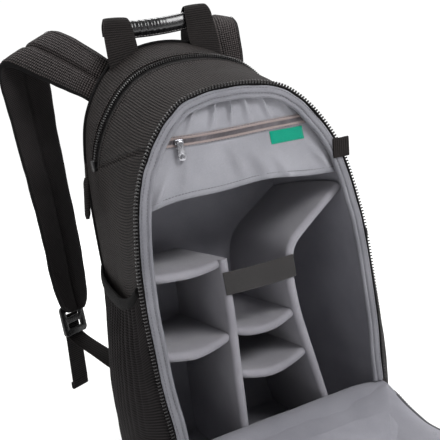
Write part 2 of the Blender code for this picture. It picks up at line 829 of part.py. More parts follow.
def make_edge_tab():
    """A webbing tab sewn to the opening's right edge."""
    low = EDGE_TAB_HEIGHT - EDGE_TAB_LENGTH / 2
    high = EDGE_TAB_HEIGHT + EDGE_TAB_LENGTH / 2
    seat_y = FRONT_Y - GAP - TEETH_DEPTH - GAP

    def grid(rear):
        rows = []
        for z in (low, EDGE_TAB_HEIGHT, high):
            edge = wall_x(FRONT_Y, z, 0.0)
            rows.append([
                Vector((edge - EDGE_TAB_REACH * 0.6, seat_y - rear, z)),
                Vector((edge + EDGE_TAB_REACH * 0.4, seat_y - rear, z)),
            ])
        return rows

    sheet("edge_tab", grid(0.0), grid(EDGE_TAB_THICKNESS), WEBBING)


def pocket_grid(sign, offset, row_shares):
    """A grid over the side pocket: rows go up the body's outline, columns go to the rear."""
    columns = [POCKET_FRONT_Y]
    columns += [y for y in SECTION_YS if POCKET_FRONT_Y < y < POCKET_REAR_Y]
    columns.append(POCKET_REAR_Y)
    columns += [(a + b) / 2 for a, b in zip(columns[2:], columns[3:])]
    rows = []
    for share in row_shares:
        bulge = POCKET_BULGE * table_value(POCKET_PROFILE, share)
        place = POCKET_FIRST_ROW + (POCKET_LAST_ROW - POCKET_FIRST_ROW) * share
        index = min(int(place), POCKET_LAST_ROW - 1)
        row = []
        for y in sorted(columns):
            v = (y - POCKET_FRONT_Y) / (POCKET_REAR_Y - POCKET_FRONT_Y)
            swell = bulge * math.sin(math.pi * v) ** POCKET_FULLNESS
            ring = ring_at(y, -POCKET_SEAM_GAP - swell - offset)
            low, high = Vector(ring[index]), Vector(ring[index + 1])
            point = low.lerp(high, place - index)
            row.append(Vector((sign * -point.x, y, point.y)))
        rows.append(row)
    return rows


def make_side_pockets():
    steps = 2 * (POCKET_LAST_ROW - POCKET_FIRST_ROW)
    shares = sorted([step / steps for step in range(steps + 1)] + [BAND_START_SHARE])
    for side, sign in (("left", -1), ("right", 1)):
        inner = pocket_grid(sign, 0.0, shares)
        outer = pocket_grid(sign, POCKET_WALL, shares)
        sheet("side_pocket_" + side, inner, outer, MESH_FABRIC)
        band_shares = (BAND_START_SHARE, 1.0)
        start = POCKET_WALL + GAP * 2
        band_inner = pocket_grid(sign, start, band_shares)
        band_outer = pocket_grid(sign, start + BAND_THICKNESS, band_shares)
        sheet("pocket_band_" + side, band_inner, band_outer, WEBBING)


def make_handle():
    half = HANDLE_WEBBING_WIDTH / 2
    for side, sign in (("left", -1), ("right", 1)):
        grids = []
        for rear in (0.0, HANDLE_WEBBING_THICKNESS):
            y = HANDLE_Y + rear
            rows = []
            for share in (0.0, 0.35, 0.75, 1.0):
                row = []
                for step in range(4):
                    across = step / 3 * 2 - 1
                    x = sign * HANDLE_X + across * half * (1 - 0.12 * share)
                    foot = crown_z(y, x, 0.0) + GAP * 2
                    z = foot + (HANDLE_TOP - foot) * share
                    row.append(Vector((x, y + HANDLE_LEAN * share, z)))
                rows.append(row)
            grids.append(rows)
        sheet("handle_webbing_" + side, grids[0], grids[1], WEBBING)

    near = HANDLE_Y + HANDLE_WEBBING_THICKNESS + HANDLE_LEAN + GAP
    rings = []
    for step in range(13):
        u = step / 6 - 1
        centre = Vector((
            GRIP_HALF_LENGTH * u,
            near + GRIP_DEPTH / 2,
            HANDLE_TOP - GRIP_HEIGHT / 2 - GRIP_SAG * (1 - u * u),
        ))
        ring = []
        for turn in range(10):
            angle = math.tau * turn / 10
            ring.append(centre + Vector((
                0,
                math.cos(angle) * GRIP_DEPTH / 2,
                math.sin(angle) * GRIP_HEIGHT / 2,
            )))
        rings.append(ring)
    loft("handle_grip", rings, LEATHER)


def strap_frames(sign, splay, sections):
    """Centre, width direction and width of each section of a shoulder strap.

    The first stretch lies flat on the back panel, where it is sewn down.
    """
    panel_face = REAR_Y + GAP + BACK_PANEL_DEPTH
    seat_y = panel_face + GAP + STRAP_PAD / 2
    start = Vector((sign * STRAP_ATTACH_X, seat_y, STRAP_ATTACH_HEIGHT))
    frames = []
    for out, back, rise, drop, width, lean, turn in sections:
        centre = start + Vector((
            sign * splay * out,
            STRAP_STANDOFF * back,
            STRAP_RISE * rise - STRAP_DROP * drop,
        ))
        lean, turn = math.radians(lean), math.radians(turn)
        across = Vector((
            -sign * math.cos(lean) * math.cos(turn),
            math.cos(lean) * math.sin(turn),
            math.sin(lean),
        ))
        frames.append((centre, across, STRAP_WIDTH * width))
    centre, across, width = frames[0]
    run = Vector((sign * across.z, 0, abs(across.x)))
    return [(centre - run * STRAP_ROOT_RUN, across, width)] + frames


def band_rings(frames, section, thickness, sign):
    """Rings of a strap: each section square to the way the strap runs."""
    rings = []
    for i, (centre, across, width) in enumerate(frames):
        ahead = frames[min(i + 1, len(frames) - 1)][0]
        behind = frames[max(i - 1, 0)][0]
        along = (ahead - behind).normalized()
        out = along.cross(across).normalized() * sign
        rings.append([centre + across * (width * a) + out * (thickness * t) for a, t in section])
    return rings


FLAT_SECTION = ((-0.5, -0.5), (-0.5, 0.5), (0.5, 0.5), (0.5, -0.5))


def make_lock(name, centre, across, down, out):
    """A ladder lock: a frame with three bars and two slots."""
    half_width = LOCK_WIDTH / 2
    slot_half = half_width - LOCK_BAR
    half_length = LOCK_LENGTH / 2
    slots = ((-half_length + LOCK_BAR, -LOCK_BAR / 2), (LOCK_BAR / 2, half_length - LOCK_BAR))
    xs = [-half_width, -slot_half, slot_half, half_width]
    ys = [-half_length, slots[0][0], slots[0][1], slots[1][0], slots[1][1], half_length]

    def build(bm):
        grids = []
        for height in (0.0, LOCK_THICKNESS):
            grids.append([
                [bm.verts.new(centre + across * x + down * y + out * height) for x in xs] for y in ys
            ])
        solid = {
            (r, c) for r in range(5) for c in range(3) if not (c == 1 and r in (1, 3))
        }
        for r, c in solid:
            for grid in grids:
                bm.faces.new((grid[r][c], grid[r][c + 1], grid[r + 1][c + 1], grid[r + 1][c]))
            edges = (
                ((r - 1, c), (r, c), (r, c + 1)),
                ((r + 1, c), (r + 1, c), (r + 1, c + 1)),
                ((r, c - 1), (r, c), (r + 1, c)),
                ((r, c + 1), (r, c + 1), (r + 1, c + 1)),
            )
            for neighbour, a, b in edges:
                if neighbour not in solid:
                    low, high = grids
                    bm.faces.new((
                        low[a[0]][a[1]], low[b[0]][b[1]], high[b[0]][b[1]], high[a[0]][a[1]]
                    ))

    return make_object(name, build, PLASTIC)


def make_shoulder_strap(side, sign, splay, rise):
    frames = strap_frames(sign, splay, rise + STRAP_FALL)
    loft("shoulder_strap_" + side, band_rings(frames, PAD_SECTION, STRAP_PAD, sign), MESH_FABRIC)

    tip, across, _ = frames[-1]
    before = frames[-3][0]
    down = (tip - before).normalized()
    out = down.cross(across).normalized() * sign
    lock_centre = tip + down * (LOCK_LENGTH * 0.28) + out * (STRAP_PAD * 0.5 + GAP * 2)
    make_lock("ladder_lock_" + side, lock_centre, across, down, out)

    anchor = Vector((sign * (BACK_HALF_WIDTH - ANCHOR_INSET), REAR_Y + GAP, ANCHOR_HEIGHT))
    anchor.y += BACK_PANEL_DEPTH + GAP
    lift = out * (LOCK_THICKNESS + GAP * 2 + LOWER_WEBBING_THICKNESS / 2)
    top = lock_centre + lift - down * (LOCK_LENGTH * 0.2)
    leave = lock_centre + lift + down * (LOCK_LENGTH * 0.5)
    end = anchor + Vector((0, ANCHOR_THICKNESS + LOWER_WEBBING_THICKNESS / 2 + GAP, 0))
    level = Vector((-sign, 0, 0))
    webbing = [(top, across, LOWER_WEBBING_WIDTH), (leave, across, LOWER_WEBBING_WIDTH)]
    for share in (0.35, 0.7):
        centre = leave.lerp(end, share) + down * WEBBING_SAG
        webbing.append((centre, across.lerp(level, share).normalized(), LOWER_WEBBING_WIDTH))
    webbing.append((end + Vector((0, 0, ANCHOR_RUN)), level, LOWER_WEBBING_WIDTH))
    webbing.append((end, level, LOWER_WEBBING_WIDTH))
    rings = band_rings(webbing, FLAT_SECTION, LOWER_WEBBING_THICKNESS, sign)
    loft("lower_webbing_" + side, rings, WEBBING)

    tail_lift = out * (LOWER_WEBBING_THICKNESS + GAP)
    tail = [(top + tail_lift, across, LOWER_WEBBING_WIDTH)]
    for share, width_share in ((0.0, 1.0), (0.5, 1.0), (0.9, 1.0), (1.0, 0.6)):
        centre = leave + tail_lift + down * (TAIL_LENGTH * share) + out * (TAIL_KICK * share)
        tail.append((centre, across, LOWER_WEBBING_WIDTH * width_share))
    rings = band_rings(tail, FLAT_SECTION, LOWER_WEBBING_THICKNESS, sign)
    loft("webbing_tail_" + side, rings, WEBBING)

    deep = Vector((0, 1, 0))
    rings = box_rings(
        anchor, Vector((1, 0, 0)), Vector((0, 0, 1)), deep, ANCHOR_LENGTH, ANCHOR_LENGTH,
        ANCHOR_THICKNESS, 0.0008,
    )
    loft("strap_anchor_" + side, rings, WEBBING)


def flap_outline(inset, scale=1.0):
    """The flap's plan, as x and the distance along from the hinge, scaled about its middle."""
    middle = RIM_HEIGHT / 2
    half = [
        (RIM_HALF_WIDTH * row[0] * scale, middle + (RIM_HEIGHT * row[1] - middle) * scale)
        for row in OUTLINE
    ]
    return inset_ring(mirrored(half), inset)


def flap_ring(inset, height_at, scale=1.0):
    """A ring of the flap at an inset, at the height that height_at gives for each distance."""
    points = []
    for x, along in flap_outline(inset, scale):
        points.append(Vector((x, FRONT_Y - GAP - along, height_at(along))))
    return points


def flap_edge_height(along):
    return HINGE_HEIGHT * table_value(FLAP_EDGE, max(along, 0.0) / RIM_HEIGHT)


def make_flap():
    foot = FLAP_WALL
    pan = [
        flap_ring(FLAP_FOOT_INSET, lambda along: 0.0),
        flap_ring(0.0, lambda along: flap_edge_height(along) * 0.4),
        flap_ring(0.0, flap_edge_height),
        flap_ring(FLAP_WALL, flap_edge_height),
        flap_ring(FLAP_WALL, lambda along: flap_edge_height(along) * 0.4 + foot),
        flap_ring(FLAP_FOOT_INSET + FLAP_WALL, lambda along: foot),
    ]
    loft("flap_outer", pan, BALLISTIC, cap=rung_cap)

    def layer(scale, crown_share, thickness):
        return flap_ring(
            GAP,
            lambda along: flap_edge_height(along) + GAP + thickness + FLAP_CROWN * crown_share,
            scale,
        )

    lining = [
        layer(1.0, 0.0, 0.0),
        layer(1.0, 0.0, FLAP_LINING_EDGE),
        layer(0.94, 0.40, FLAP_LINING_EDGE),
        layer(0.82, 0.78, FLAP_LINING_EDGE),
        layer(0.60, 1.0, FLAP_LINING_EDGE),
    ]
    loft("flap_lining", lining, GREY_LINING, cap=rung_cap)

    outer = flap_outline(-GAP - FLAP_TEETH_WIDTH)
    inner = flap_outline(-GAP)
    rings = []
    for index in range(5, RING_COUNT - 4):
        ring = []
        for outline, lift in ((inner, 0.0), (outer, 0.0), (outer, 1.0), (inner, 1.0)):
            x, along = outline[index]
            base = flap_edge_height(along) - FLAP_TEETH_HEIGHT / 2
            ring.append(Vector((x, FRONT_Y - GAP - along, base + FLAP_TEETH_HEIGHT * lift)))
        rings.append(ring)
    loft("flap_zip_teeth", rings, ZIP_COIL)


make_body()
make_opening_edge()
make_crown_zip()
make_dividers()
make_upper_pocket()
make_edge_tab()
make_side_pockets()
make_handle()
make_shoulder_strap("left", -1, LEFT_STRAP_SPLAY, LEFT_STRAP_RISE)
make_shoulder_strap("right", 1, RIGHT_STRAP_SPLAY, RIGHT_STRAP_RISE)
make_flap()
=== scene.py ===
"""Looks of the camera backpack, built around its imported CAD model. Metres, +Z up, front at -Y."""

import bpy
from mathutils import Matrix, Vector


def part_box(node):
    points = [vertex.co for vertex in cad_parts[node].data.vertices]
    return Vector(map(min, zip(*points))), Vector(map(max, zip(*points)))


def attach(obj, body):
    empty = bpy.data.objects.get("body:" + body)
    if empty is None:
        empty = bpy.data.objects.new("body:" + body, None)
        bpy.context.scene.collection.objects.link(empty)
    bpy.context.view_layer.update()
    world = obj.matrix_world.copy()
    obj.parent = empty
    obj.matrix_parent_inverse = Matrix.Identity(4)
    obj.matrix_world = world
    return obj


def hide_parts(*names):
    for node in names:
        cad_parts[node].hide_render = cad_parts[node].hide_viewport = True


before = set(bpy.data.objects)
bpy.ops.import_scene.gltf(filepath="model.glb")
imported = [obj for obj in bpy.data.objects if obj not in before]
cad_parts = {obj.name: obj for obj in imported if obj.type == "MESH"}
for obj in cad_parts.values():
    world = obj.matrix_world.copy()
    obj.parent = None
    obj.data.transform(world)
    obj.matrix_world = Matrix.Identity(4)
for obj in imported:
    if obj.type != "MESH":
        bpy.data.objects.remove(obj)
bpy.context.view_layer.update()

import math

import bmesh
import bpy
import numpy as np
from mathutils import Matrix, Vector, noise

# Named sizes, as in the CAD source
GAP = 0.0003
BODY_DEPTH = 0.156
HINGE_HEIGHT = 0.045
RIM_HEIGHT = 0.346
RIM_HALF_WIDTH = 0.128
BACK_HEIGHT = 0.456
BACK_HALF_WIDTH = 0.116
SIDE_SWELL = 0.006
SHELL_WALL = 0.002
LINING_WALL = 0.006
BACK_PANEL_DEPTH = 0.011
RIM_TOP = HINGE_HEIGHT + RIM_HEIGHT
FRONT_Y = -BODY_DEPTH / 2
REAR_Y = BODY_DEPTH / 2
LINING_OUTER = SHELL_WALL + GAP
LINING_INNER = LINING_OUTER + LINING_WALL
LINING_BACK_Y = REAR_Y - LINING_WALL
DIVIDER_THICKNESS = 0.009
DIVIDER_FRONT_Y = FRONT_Y + 0.012
PANEL_Y = FRONT_Y + 0.006
PANEL_EDGE_HEIGHT = RIM_TOP - 0.105
PANEL_ARCH = 0.010
POCKET_ZIP_HEIGHT = RIM_TOP - 0.045
HOOK_STRAP_HEIGHT = RIM_TOP - 0.189
CROWN_ZIP_Y = REAR_Y - 0.048
CROWN_ZIP_LEAN = 0.016
HANDLE_TOP = BACK_HEIGHT + 0.034
HANDLE_X = 0.0495
HANDLE_Y = 0.0700
GRIP_HALF_LENGTH = 0.0605
GRIP_Y = 0.0813
GRIP_DROP = 0.0085
GRIP_SAG = 0.004
GRIP_TILT = 0.0031
STRAP_ATTACH_X = 0.078
STRAP_ATTACH_DROP = 0.028
STRAP_WIDTH = 0.066
STRAP_PAD = 0.011
STRAP_STANDOFF = 0.072
STRAP_ROOT_RUN = 0.036
STRAP_RISE = 0.048
STRAP_DROP = 0.258
LOCK_LENGTH = 0.034
LOCK_THICKNESS = 0.004
WEBBING_WIDTH = 0.024
WEBBING_THICKNESS = 0.0016
WEBBING_SAG = 0.004
TAIL_LENGTH = 0.062
TAIL_KICK = 0.007
ANCHOR_HEIGHT = 0.076
ANCHOR_INSET = 0.030
ANCHOR_RUN = 0.012
ANCHOR_HALF = 0.015
ANCHOR_THICKNESS = 0.003
FLAP_CROWN = 0.016
LABEL_X = 0.0545
LABEL_LENGTH = 0.038
LABEL_HEIGHT = 0.013
HOOK_STRAP_WIDTH = 0.023
EDGE_TAB_LENGTH = 0.020
POCKET_BULGE = 0.027

# Stitches, zip teeth and the photo's camera
STITCH_PITCH = 0.0034
TOOTH_PITCH = 0.0033
PHOTO_SIZE = 440
FOCAL_PIXELS = 743
SENSOR_WIDTH = 36.0

OUTLINE = (
    (0.000, 0.000, 0.000, 0.000),
    (0.420, 0.000, 0.380, 0.000),
    (0.780, 0.000, 0.700, 0.000),
    (0.950, 0.004, 0.860, 0.028),
    (0.962, 0.030, 0.905, 0.058),
    (0.968, 0.080, 0.945, 0.090),
    (0.992, 0.200, 0.985, 0.190),
    (1.000, 0.370, 1.000, 0.340),
    (0.990, 0.520, 1.000, 0.500),
    (0.960, 0.615, 0.990, 0.620),
    (0.910, 0.717, 0.970, 0.715),
    (0.850, 0.786, 0.935, 0.785),
    (0.780, 0.838, 0.880, 0.840),
    (0.680, 0.893, 0.780, 0.890),
    (0.555, 0.942, 0.640, 0.937),
    (0.410, 0.977, 0.470, 0.971),
    (0.210, 0.995, 0.240, 0.993),
    (0.000, 1.000, 0.000, 1.000),
)
DEPTH_SECTIONS = np.array((
    (0.00, 0.00, 0.00),
    (0.05, 0.42, 0.35),
    (0.14, 0.80, 0.75),
    (0.27, 1.00, 1.00),
    (0.50, 1.00, 1.00),
    (0.75, 1.00, 0.75),
    (0.92, 1.00, 0.30),
    (1.00, 0.82, 0.00),
))
PER_ROW = 12
HALF = (len(OUTLINE) - 1) * PER_ROW
COUNT = 2 * HALF


# Small tools
def smooth(xs, ys, x):
    """A smooth curve through table rows that doesn't pass beyond them."""
    xs, ys = np.asarray(xs, float), np.asarray(ys, float)
    slope = np.diff(ys) / np.diff(xs)
    tangent = np.zeros_like(ys)
    product = slope[:-1] * slope[1:]
    total = slope[:-1] + slope[1:]
    safe = np.where(np.abs(total) < 1e-12, 1.0, total)
    tangent[1:-1] = np.where(product > 0, 2 * product / safe, 0.0)
    tangent[0], tangent[-1] = slope[0], slope[-1]
    x = np.clip(x, xs[0], xs[-1])
    i = np.clip(np.searchsorted(xs, x) - 1, 0, len(xs) - 2)
    h = xs[i + 1] - xs[i]
    t = (x - xs[i]) / h
    return (
        (2 * t**3 - 3 * t**2 + 1) * ys[i]
        + (t**3 - 2 * t**2 + t) * h * tangent[i]
        + (3 * t**2 - 2 * t**3) * ys[i + 1]
        + (t**3 - t**2) * h * tangent[i + 1]
    )


def spline(points, count, closed=False):
    """count points on a smooth curve through the given points."""
    p = np.asarray(points, float)
    n = len(p)
    spans = n if closed else n - 1
    t = np.linspace(0, spans, count, endpoint=not closed)
    i = np.minimum(t.astype(int), spans - 1)
    f = (t - i)[:, None]
    if closed:
        a, b, c, d = p[(i - 1) % n], p[i % n], p[(i + 1) % n], p[(i + 2) % n]
    else:
        a, b = p[np.maximum(i - 1, 0)], p[i]
        c, d = p[i + 1], p[np.minimum(i + 2, n - 1)]
    return 0.5 * (2 * b + (c - a) * f + (2 * a - 5 * b + 4 * c - d) * f**2 + (3 * b - a - 3 * c + d) * f**3)


def full_outline():
    left = [(-a, b, -c, d) for a, b, c, d in OUTLINE]
    right = [(a, b, c, d) for a, b, c, d in OUTLINE[1:-1]][::-1]
    return spline(left + right, COUNT, closed=True)


FINE = full_outline()


def ring2d(y, inset=0.0):
    """The body's outline at a depth, as x and z, inset from its outer face."""
    depth = min(max((y - FRONT_Y) / BODY_DEPTH, 0.0), 1.0)
    drop = smooth(DEPTH_SECTIONS[:, 0], DEPTH_SECTIONS[:, 1], depth)
    swell = smooth(DEPTH_SECTIONS[:, 0], DEPTH_SECTIONS[:, 2], depth)
    bottom = HINGE_HEIGHT * (1 - drop)
    top = RIM_TOP * (1 - depth) + BACK_HEIGHT * depth
    half = RIM_HALF_WIDTH * (1 - depth) + BACK_HALF_WIDTH * depth + SIDE_SWELL * swell
    x = half * (FINE[:, 0] * (1 - depth) + FINE[:, 2] * depth)
    z = bottom + (top - bottom) * (FINE[:, 1] * (1 - depth) + FINE[:, 3] * depth)
    ring = np.stack([x, z], 1)
    if np.ndim(inset) or inset:
        ring = ring + inward(ring) * np.reshape(inset, (-1, 1))
    return ring


def inward(ring):
    step = np.roll(ring, -1, 0) - np.roll(ring, 1, 0)
    normal = np.stack([step[:, 1], -step[:, 0]], 1)
    return normal / np.maximum(np.linalg.norm(normal, axis=1, keepdims=True), 1e-9)


def at_depth(ring, y):
    return np.stack([ring[:, 0], np.full(len(ring), y), ring[:, 1]], 1)


def body(y, inset=0.0):
    return at_depth(ring2d(y, inset), y)


def wall_x(y, z, inset):
    """Half the width of the body's inside at a depth and a height."""
    half = ring2d(y, inset)[PER_ROW * 3 : HALF + 1]
    return -np.interp(z, half[:, 1], half[:, 0])


def floor_z(y, inset):
    return ring2d(y, inset)[0, 1]


def bumps(points, scale, seed=0.0):
    """Smooth noise at each point, about -1 to 1."""
    shift = Vector((seed, seed * 1.7, -seed))
    flat = np.reshape(points, (-1, 3))
    values = [noise.noise(Vector(p) * scale + shift) for p in flat]
    return np.array(values).reshape(np.shape(points)[:-1])


def grid_normals(points):
    """The normals of a grid whose rows are closed round."""
    du = np.roll(points, -1, 1) - np.roll(points, 1, 1)
    dv = np.gradient(points, axis=0)
    n = np.cross(du, dv)
    return n / np.maximum(np.linalg.norm(n, axis=2, keepdims=True), 1e-12)


def lengths(points, axis):
    step = np.linalg.norm(np.diff(points, axis=axis), axis=2)
    zero = np.zeros_like(np.take(step, [0], axis))
    return np.concatenate([zero, np.cumsum(step, axis)], axis)


def link_object(name, mesh, angle):
    """An object of the mesh in the scene, smooth but for edges sharper than the angle."""
    mesh.shade_smooth()
    mesh.set_sharp_from_angle(angle=math.radians(angle))
    made = bpy.data.objects.new(name, mesh)
    bpy.context.scene.collection.objects.link(made)
    return made


def mesh_object(name, verts, faces, uvs, materials, face_material=None, smooth_angle=50):
    mesh = bpy.data.meshes.new(name)
    mesh.from_pydata([tuple(v) for v in verts], [], faces)
    layer = mesh.uv_layers.new(name="UVMap")
    flat = np.array([uv for face in uvs for uv in face], np.float32).ravel()
    layer.data.foreach_set("uv", flat)
    for m in materials:
        mesh.materials.append(m)
    if face_material is not None:
        mesh.polygons.foreach_set("material_index", np.array(face_material, np.int32))
    mesh.update()
    bm = bmesh.new()
    bm.from_mesh(mesh)
    bmesh.ops.recalc_face_normals(bm, faces=bm.faces)
    bm.to_mesh(mesh)
    bm.free()
    return link_object(name, mesh, smooth_angle)


def loft(name, rings, materials, caps=True, column_material=None, closed_v=False, smooth_angle=50):
    """A skin over rings (rows, columns, 3) that are closed round. UVs are in metres.

    Caps fan out from the ring's middle, or cross a long thin ring as rungs.
    """
    rings = np.asarray(rings, float)
    rows, cols = rings.shape[:2]
    wrapped = np.concatenate([rings, rings[:, :1]], 1)
    u = lengths(wrapped, 1).mean(0)
    v = lengths(np.concatenate([rings, rings[:1]], 0), 0).mean(1)
    verts = rings.reshape(-1, 3).tolist()
    faces, uvs, slots = [], [], []
    for r in range(rows if closed_v else rows - 1):
        s = (r + 1) % rows
        for c in range(cols):
            d = (c + 1) % cols
            faces.append((r * cols + c, r * cols + d, s * cols + d, s * cols + c))
            uvs.append(((u[c], v[r]), (u[c + 1], v[r]), (u[c + 1], v[r + 1]), (u[c], v[r + 1])))
            slots.append(column_material[c] if column_material is not None else 0)
    if caps == "rungs":
        for r in (0, rows - 1):
            for c in range(cols // 2 - 1):
                faces.append(
                    (r * cols + c, r * cols + c + 1, r * cols + cols - 2 - c, r * cols + cols - 1 - c)
                )
                uvs.append(((u[c], v[r]), (u[c + 1], v[r]), (u[c + 1], v[r] + 0.001), (u[c], v[r] + 0.001)))
                slots.append(0)
    elif caps and not closed_v:
        for r in (0, rows - 1):
            middle = rings[r].mean(0)
            verts.append(middle.tolist())
            m = len(verts) - 1
            for c in range(cols):
                d = (c + 1) % cols
                faces.append((r * cols + c, r * cols + d, m))
                uvs.append(((u[c], v[r]), (u[c + 1], v[r]), (u[c], v[r] + 0.003)))
                slots.append(column_material[c] if column_material is not None else 0)
    return mesh_object(name, verts, faces, uvs, materials, slots, smooth_angle)


def slab(name, front, back, materials, smooth_angle=50):
    """A closed slab between two grids of points of the same size. UVs are in metres."""
    front, back = np.asarray(front, float), np.asarray(back, float)
    rows, cols = front.shape[:2]
    u, v = lengths(front, 1), lengths(front, 0)
    u = u - u[:, cols // 2][:, None]
    verts = front.reshape(-1, 3).tolist() + back.reshape(-1, 3).tolist()
    second = rows * cols
    faces, uvs = [], []

    def corner(r, c):
        return (u[r, c], v[r, c])

    for base in (0, second):
        for r in range(rows - 1):
            for c in range(cols - 1):
                i = base + r * cols + c
                faces.append((i, i + 1, i + cols + 1, i + cols))
                uvs.append((corner(r, c), corner(r, c + 1), corner(r + 1, c + 1), corner(r + 1, c)))
    rim = [(0, c) for c in range(cols)] + [(r, cols - 1) for r in range(1, rows)]
    rim += [(rows - 1, c) for c in range(cols - 2, -1, -1)] + [(r, 0) for r in range(rows - 2, 0, -1)]
    for k, a in enumerate(rim):
        b = rim[(k + 1) % len(rim)]
        i, j = a[0] * cols + a[1], b[0] * cols + b[1]
        faces.append((i, j, second + j, second + i))
        uvs.append((corner(*a), corner(*b), corner(*b), corner(*a)))
    return mesh_object(name, verts, faces, uvs, materials, None, smooth_angle)


def block_template(size, bevel, segments=2):
    bm = bmesh.new()
    bmesh.ops.create_cube(bm, size=1.0)
    bmesh.ops.scale(bm, vec=size, verts=bm.verts)
    bmesh.ops.bevel(bm, geom=bm.edges[:], offset=bevel, segments=segments, affect="EDGES", profile=0.6)
    bm.verts.ensure_lookup_table()
    verts = np.array([v.co[:] for v in bm.verts])
    faces = [[v.index for v in f.verts] for f in bm.faces]
    bm.free()
    return verts, faces


def copies(name, template, frames, material):
    """Copies of a small form, one at each (centre, x axis, y axis, z axis)."""
    verts, faces = template
    all_verts, all_faces = [], []
    for centre, ax, ay, az in frames:
        base = len(all_verts)
        moved = verts @ np.array([ax, ay, az]) + centre
        all_verts.extend(moved.tolist())
        all_faces.extend([[base + i for i in face] for face in faces])
    mesh = bpy.data.meshes.new(name)
    mesh.from_pydata(all_verts, [], all_faces)
    mesh.materials.append(material)
    return link_object(name, mesh, 50)


def even_frames(path, outward, pitch, start=0.0):
    """Evenly spaced places on a path: centre, along, outwards and the third axis."""
    path, outward = np.asarray(path, float), np.asarray(outward, float)
    run = np.concatenate([[0], np.cumsum(np.linalg.norm(np.diff(path, axis=0), axis=1))])
    places = np.arange(start, run[-1], pitch)
    along = np.gradient(path, axis=0)
    frames = []
    for s in places:
        centre = np.array([np.interp(s, run, path[:, k]) for k in range(3)])
        t = np.array([np.interp(s, run, along[:, k]) for k in range(3)])
        o = np.array([np.interp(s, run, outward[:, k]) for k in range(3)])
        t /= np.linalg.norm(t)
        o -= t * o.dot(t)
        o /= np.linalg.norm(o)
        frames.append((centre, t, o, np.cross(t, o)))
    return frames


def round_ring(centre, a, b, radius, steps):
    """A round section: points round the centre in the plane of a and b."""
    turns = [math.tau * t / steps for t in range(steps)]
    return [centre + radius * (a * math.cos(turn) + b * math.sin(turn)) for turn in turns]


def facing_front(count):
    """The way to the front, once for each point of a path."""
    return np.tile([0.0, -1.0, 0.0], (count, 1))


def plate(name, outline, holes, thickness, bevel, material, matrix):
    """A rounded flat plate with holes, from outlines in its own plane."""
    curve = bpy.data.curves.new(name, "CURVE")
    curve.dimensions = "2D"
    curve.fill_mode = "BOTH"
    curve.extrude = thickness / 2 - bevel
    curve.bevel_depth = bevel
    curve.bevel_resolution = 2
    for loop in [outline] + list(holes):
        line = curve.splines.new("POLY")
        line.points.add(len(loop) - 1)
        for point, (x, y) in zip(line.points, loop):
            point.co = (x, y, 0, 1)
        line.use_cyclic_u = True
    temporary = bpy.data.objects.new(name + "_outline", curve)
    bpy.context.scene.collection.objects.link(temporary)
    depsgraph = bpy.context.evaluated_depsgraph_get()
    mesh = bpy.data.meshes.new_from_object(temporary.evaluated_get(depsgraph))
    bpy.data.objects.remove(temporary)
    bpy.data.curves.remove(curve)
    mesh.name = name
    mesh.transform(matrix)
    mesh.materials.clear()
    mesh.materials.append(material)
    bm = bmesh.new()
    bm.from_mesh(mesh)
    bmesh.ops.remove_doubles(bm, verts=bm.verts, dist=1e-6)
    bmesh.ops.recalc_face_normals(bm, faces=bm.faces)
    bm.to_mesh(mesh)
    bm.free()
    return link_object(name, mesh, 40)


def rounded_box(half_x, half_y, radius, centre=(0.0, 0.0)):
    loop, steps = [], 6
    for quarter, (sx, sy) in enumerate(((1, 1), (-1, 1), (-1, -1), (1, -1))):
        for k in range(steps + 1):
            angle = math.pi / 2 * (quarter + k / steps)
            loop.append((
                centre[0] + sx * (half_x - radius) + radius * math.cos(angle),
                centre[1] + sy * (half_y - radius) + radius * math.sin(angle),
            ))
    return loop


def axes_matrix(centre, x, y, z):
    m = Matrix((x, y, z)).transposed().to_4x4()
    m.translation = centre
    return m


def finish_piece(piece, slot, *nodes, fill=None, body_name="bag"):
    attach(piece, body_name)
    if nodes:
        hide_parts(*nodes)
    return piece


